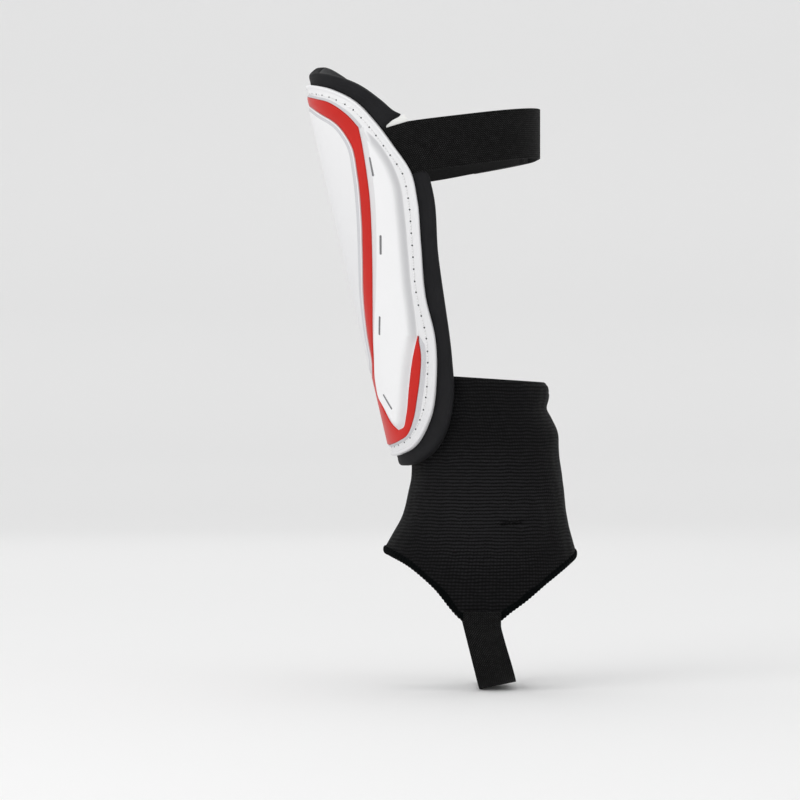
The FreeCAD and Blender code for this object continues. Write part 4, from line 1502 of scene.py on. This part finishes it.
class SHINGUARD_OT_discs(bpy.types.Operator):
    """Ankle discs: rounded foam pads inside the sleeve, each under a knit pocket"""
    bl_idname = "shinguard.discs"
    bl_label = "Ankle discs"

    def execute(self, context):
        materials = bpy.data.materials
        out = -sleeve_wall - glue_gap
        pad = [(0.0, out), (10.0, out), (18.6, out), (19.5, out - 0.3), (19.95, out - 1.0),
               (19.95, out - 2.0), (19.4, out - 2.7), (18.2, out - 3.0), (10.0, out - 3.1), (0.0, out - 3.1)]
        floor = out - disc_thick - 2.0 * glue_gap
        cover = [(20.6, out), (23.6, out), (24.0, out - 0.3), (23.4, out - 0.8), (21.6, out - 1.1),
                 (20.9, out - 2.0), (20.3, out - 3.2), (19.0, floor - 0.62), (10.0, floor - 0.75),
                 (0.0, floor - 0.8), (0.0, floor - 0.1), (10.0, floor - 0.1), (19.2, floor),
                 (20.1, out - 2.4), (20.3, out - 1.0)]
        for side, tag in ((1, "outer"), (-1, "inner")):
            disc = self.round_piece("ankle_pad_" + tag, side, pad, False)
            finish_piece(disc, "sleeve", materials["pad_foam"], "disc_foam", "ankle_disc_" + tag)
            smooth(disc, 60.0)
            pocket = self.round_piece("pocket_cover_" + tag, side, cover, True)
            finish_piece(pocket, "sleeve", materials["pocket_tricot"], "pocket_knit", "disc_pocket_" + tag)
            smooth(pocket, 60.0)
        return {"FINISHED"}

    def round_piece(self, name, side, section, closed):
        around = 72
        scale = mm_per_degree(sleeve_point, disc_angle, disc_height)
        count = len(section)

        def place(i, j):
            turn = full_turn(i, around)
            radius, out = section[j % count]
            angle = side * (disc_angle + radius * math.cos(turn) / scale)
            return sleeve_point(angle, disc_height + radius * math.sin(turn), out)

        def measure(i, j):
            turn = full_turn(i, around)
            radius = section[j % count][0]
            return radius * math.cos(turn) * MM, radius * math.sin(turn) * MM

        piece = lattice(name, around, count if closed else count - 1, place, measure)
        outward(piece)
        return piece


# ---- finishes and stage
class SHINGUARD_OT_finishes(bpy.types.Operator):
    """Every material that the pieces use"""
    bl_idname = "shinguard.finishes"
    bl_label = "Finishes"

    def execute(self, context):
        guard, soft = context.scene.shin_guard.guard, context.scene.shin_guard.soft
        moulded_polypropylene(list(guard.shell_colour))
        grained_polypropylene_painted_shade()
        hole_shade()
        lacquered_inlay(list(guard.inlay_colour))
        closed_cell_foam(list(guard.foam_colour))
        brushed_nylon(linear("202022"))
        twisted_thread("white_polyester", linear("dcdcdc"), linear("f4f4f4"))
        twisted_thread("black_polyester", linear("060607"), linear("101012"))
        elastic = list(soft.elastic_colour)
        elastic_webbing("elastic_webbing", elastic, soft.weave_pitch / MM, 15.0, 0.05)
        elastic_webbing("rolled_elastic", list(soft.edging_colour), 1.3, 1.2, 0.0)
        hook_and_loop("loop_fastener", elastic, 0.9, 0.25)
        hook_and_loop("hook_fastener", elastic, 1.3, 0.35)
        hook_and_loop("pad_foam", linear("2c2c2e"), 1.2, 0.06)
        ribbed_knit("ribbed_knit", list(soft.knit_colour), soft.rib_pitch / MM)
        ribbed_knit("pocket_tricot", list(soft.knit_colour), 1.4, False)
        woven_label()
        return {"FINISHED"}


camera_y, camera_z = -0.0531, 0.0625
air_strength = 0.82


def softbox(name, place, target, size, power):
    light = bpy.data.lights.new(name, "AREA")
    light.shape = "RECTANGLE"
    light.size, light.size_y = size
    light.energy = power
    lamp = bpy.data.objects.new(name, light)
    bpy.context.scene.collection.objects.link(lamp)
    lamp.location = place
    lamp.rotation_euler = (Vector(target) - Vector(place)).to_track_quat("-Z", "Y").to_euler()


class SHINGUARD_OT_stage(bpy.types.Operator):
    """Pale studio floor that sweeps up all round, softboxes and the camera"""
    bl_idname = "shinguard.stage"
    bl_label = "Stage"

    def execute(self, context):
        settings = context.scene.shin_guard.stage
        floor_z = cad_low.z
        sweep = [(0.0, 0.0), (1.0, 0.0), (2.0, 0.0), (3.0, 0.0), (3.6, 0.08), (4.05, 0.35), (4.3, 0.8),
                 (4.4, 1.4)]
        around = 64

        def place(i, j):
            turn = full_turn(i, around)
            radius, up = sweep[j]
            return Vector((radius * math.cos(turn), radius * math.sin(turn), floor_z + up))

        floor = lattice("studio_floor", around, len(sweep) - 1, place)
        outward(floor, inside=True)
        smooth(floor, 60.0)
        material, tree, shader, coords = new_material("matt_paper", Roughness=0.9)
        grain = noise_out(tree, coords.outputs["Object"], 400.0)
        base = list(settings.floor_colour)
        tree.links.new(mixed(tree, grain, [0.99 * c for c in base], base), shader.inputs["Base Color"])
        floor.data.materials.append(material)
        target = (0.0, -0.04, 0.08)
        softbox("key_softbox", (1.3, -1.4, 1.1), target, (1.4, 1.4), settings.key_power)
        softbox("back_softbox", (1.2, 1.7, 0.9), target, (1.0, 1.6), settings.fill_power)
        softbox("top_softbox", (0.1, -0.2, 2.2), target, (1.8, 1.8), settings.fill_power)
        softbox("far_softbox", (-1.9, -0.4, 1.0), target, (1.4, 1.4), settings.fill_power)
        world = bpy.data.worlds.new("studio_air")
        world.use_nodes = True
        air = world.node_tree.nodes["Background"]
        air.inputs["Color"].default_value = (1.0, 1.0, 1.0, 1.0)
        air.inputs["Strength"].default_value = air_strength
        context.scene.world = world
        context.scene.view_settings.view_transform = "Standard"
        camera = bpy.data.objects.new("camera", bpy.data.cameras.new("camera"))
        context.scene.collection.objects.link(camera)
        camera.location = (settings.camera_distance, camera_y, camera_z)
        camera.rotation_euler = (math.radians(90.0), 0.0, math.radians(90.0))
        camera.data.lens = settings.lens
        camera.data.sensor_width = 36.0
        camera.data.clip_end = 50.0
        context.scene.camera = camera
        return {"FINISHED"}


class SHINGUARD_PT_panel(bpy.types.Panel):
    """Lists the pieces and their settings"""
    bl_label = "Shin Guard"
    bl_idname = "SHINGUARD_PT_panel"
    bl_space_type = "VIEW_3D"
    bl_region_type = "UI"
    bl_category = "Shin Guard"

    def draw(self, context):
        settings = context.scene.shin_guard
        for group in (settings.guard, settings.soft, settings.stage):
            for name in group.__annotations__:
                self.layout.prop(group, name)
        for operator in operators:
            self.layout.operator(operator.bl_idname)


operators = (SHINGUARD_OT_finishes, SHINGUARD_OT_shell, SHINGUARD_OT_flanks, SHINGUARD_OT_inlay,
             SHINGUARD_OT_bevels, SHINGUARD_OT_panel, SHINGUARD_OT_foam, SHINGUARD_OT_stitching,
             SHINGUARD_OT_label, SHINGUARD_OT_calf_strap, SHINGUARD_OT_stirrup, SHINGUARD_OT_sleeve,
             SHINGUARD_OT_discs, SHINGUARD_OT_stage)
classes = (GuardSettings, SoftSettings, StageSettings, ShinGuardSettings) + operators + (SHINGUARD_PT_panel,)


def register():
    for item in classes:
        bpy.utils.register_class(item)
    bpy.types.Scene.shin_guard = bpy.props.PointerProperty(type=ShinGuardSettings)


def unregister():
    del bpy.types.Scene.shin_guard
    for item in reversed(classes):
        bpy.utils.unregister_class(item)


def main():
    register()
    for operator in operators:
        group, name = operator.bl_idname.split(".")
        getattr(getattr(bpy.ops, group), name)()


if __name__ == "__main__":
    main()
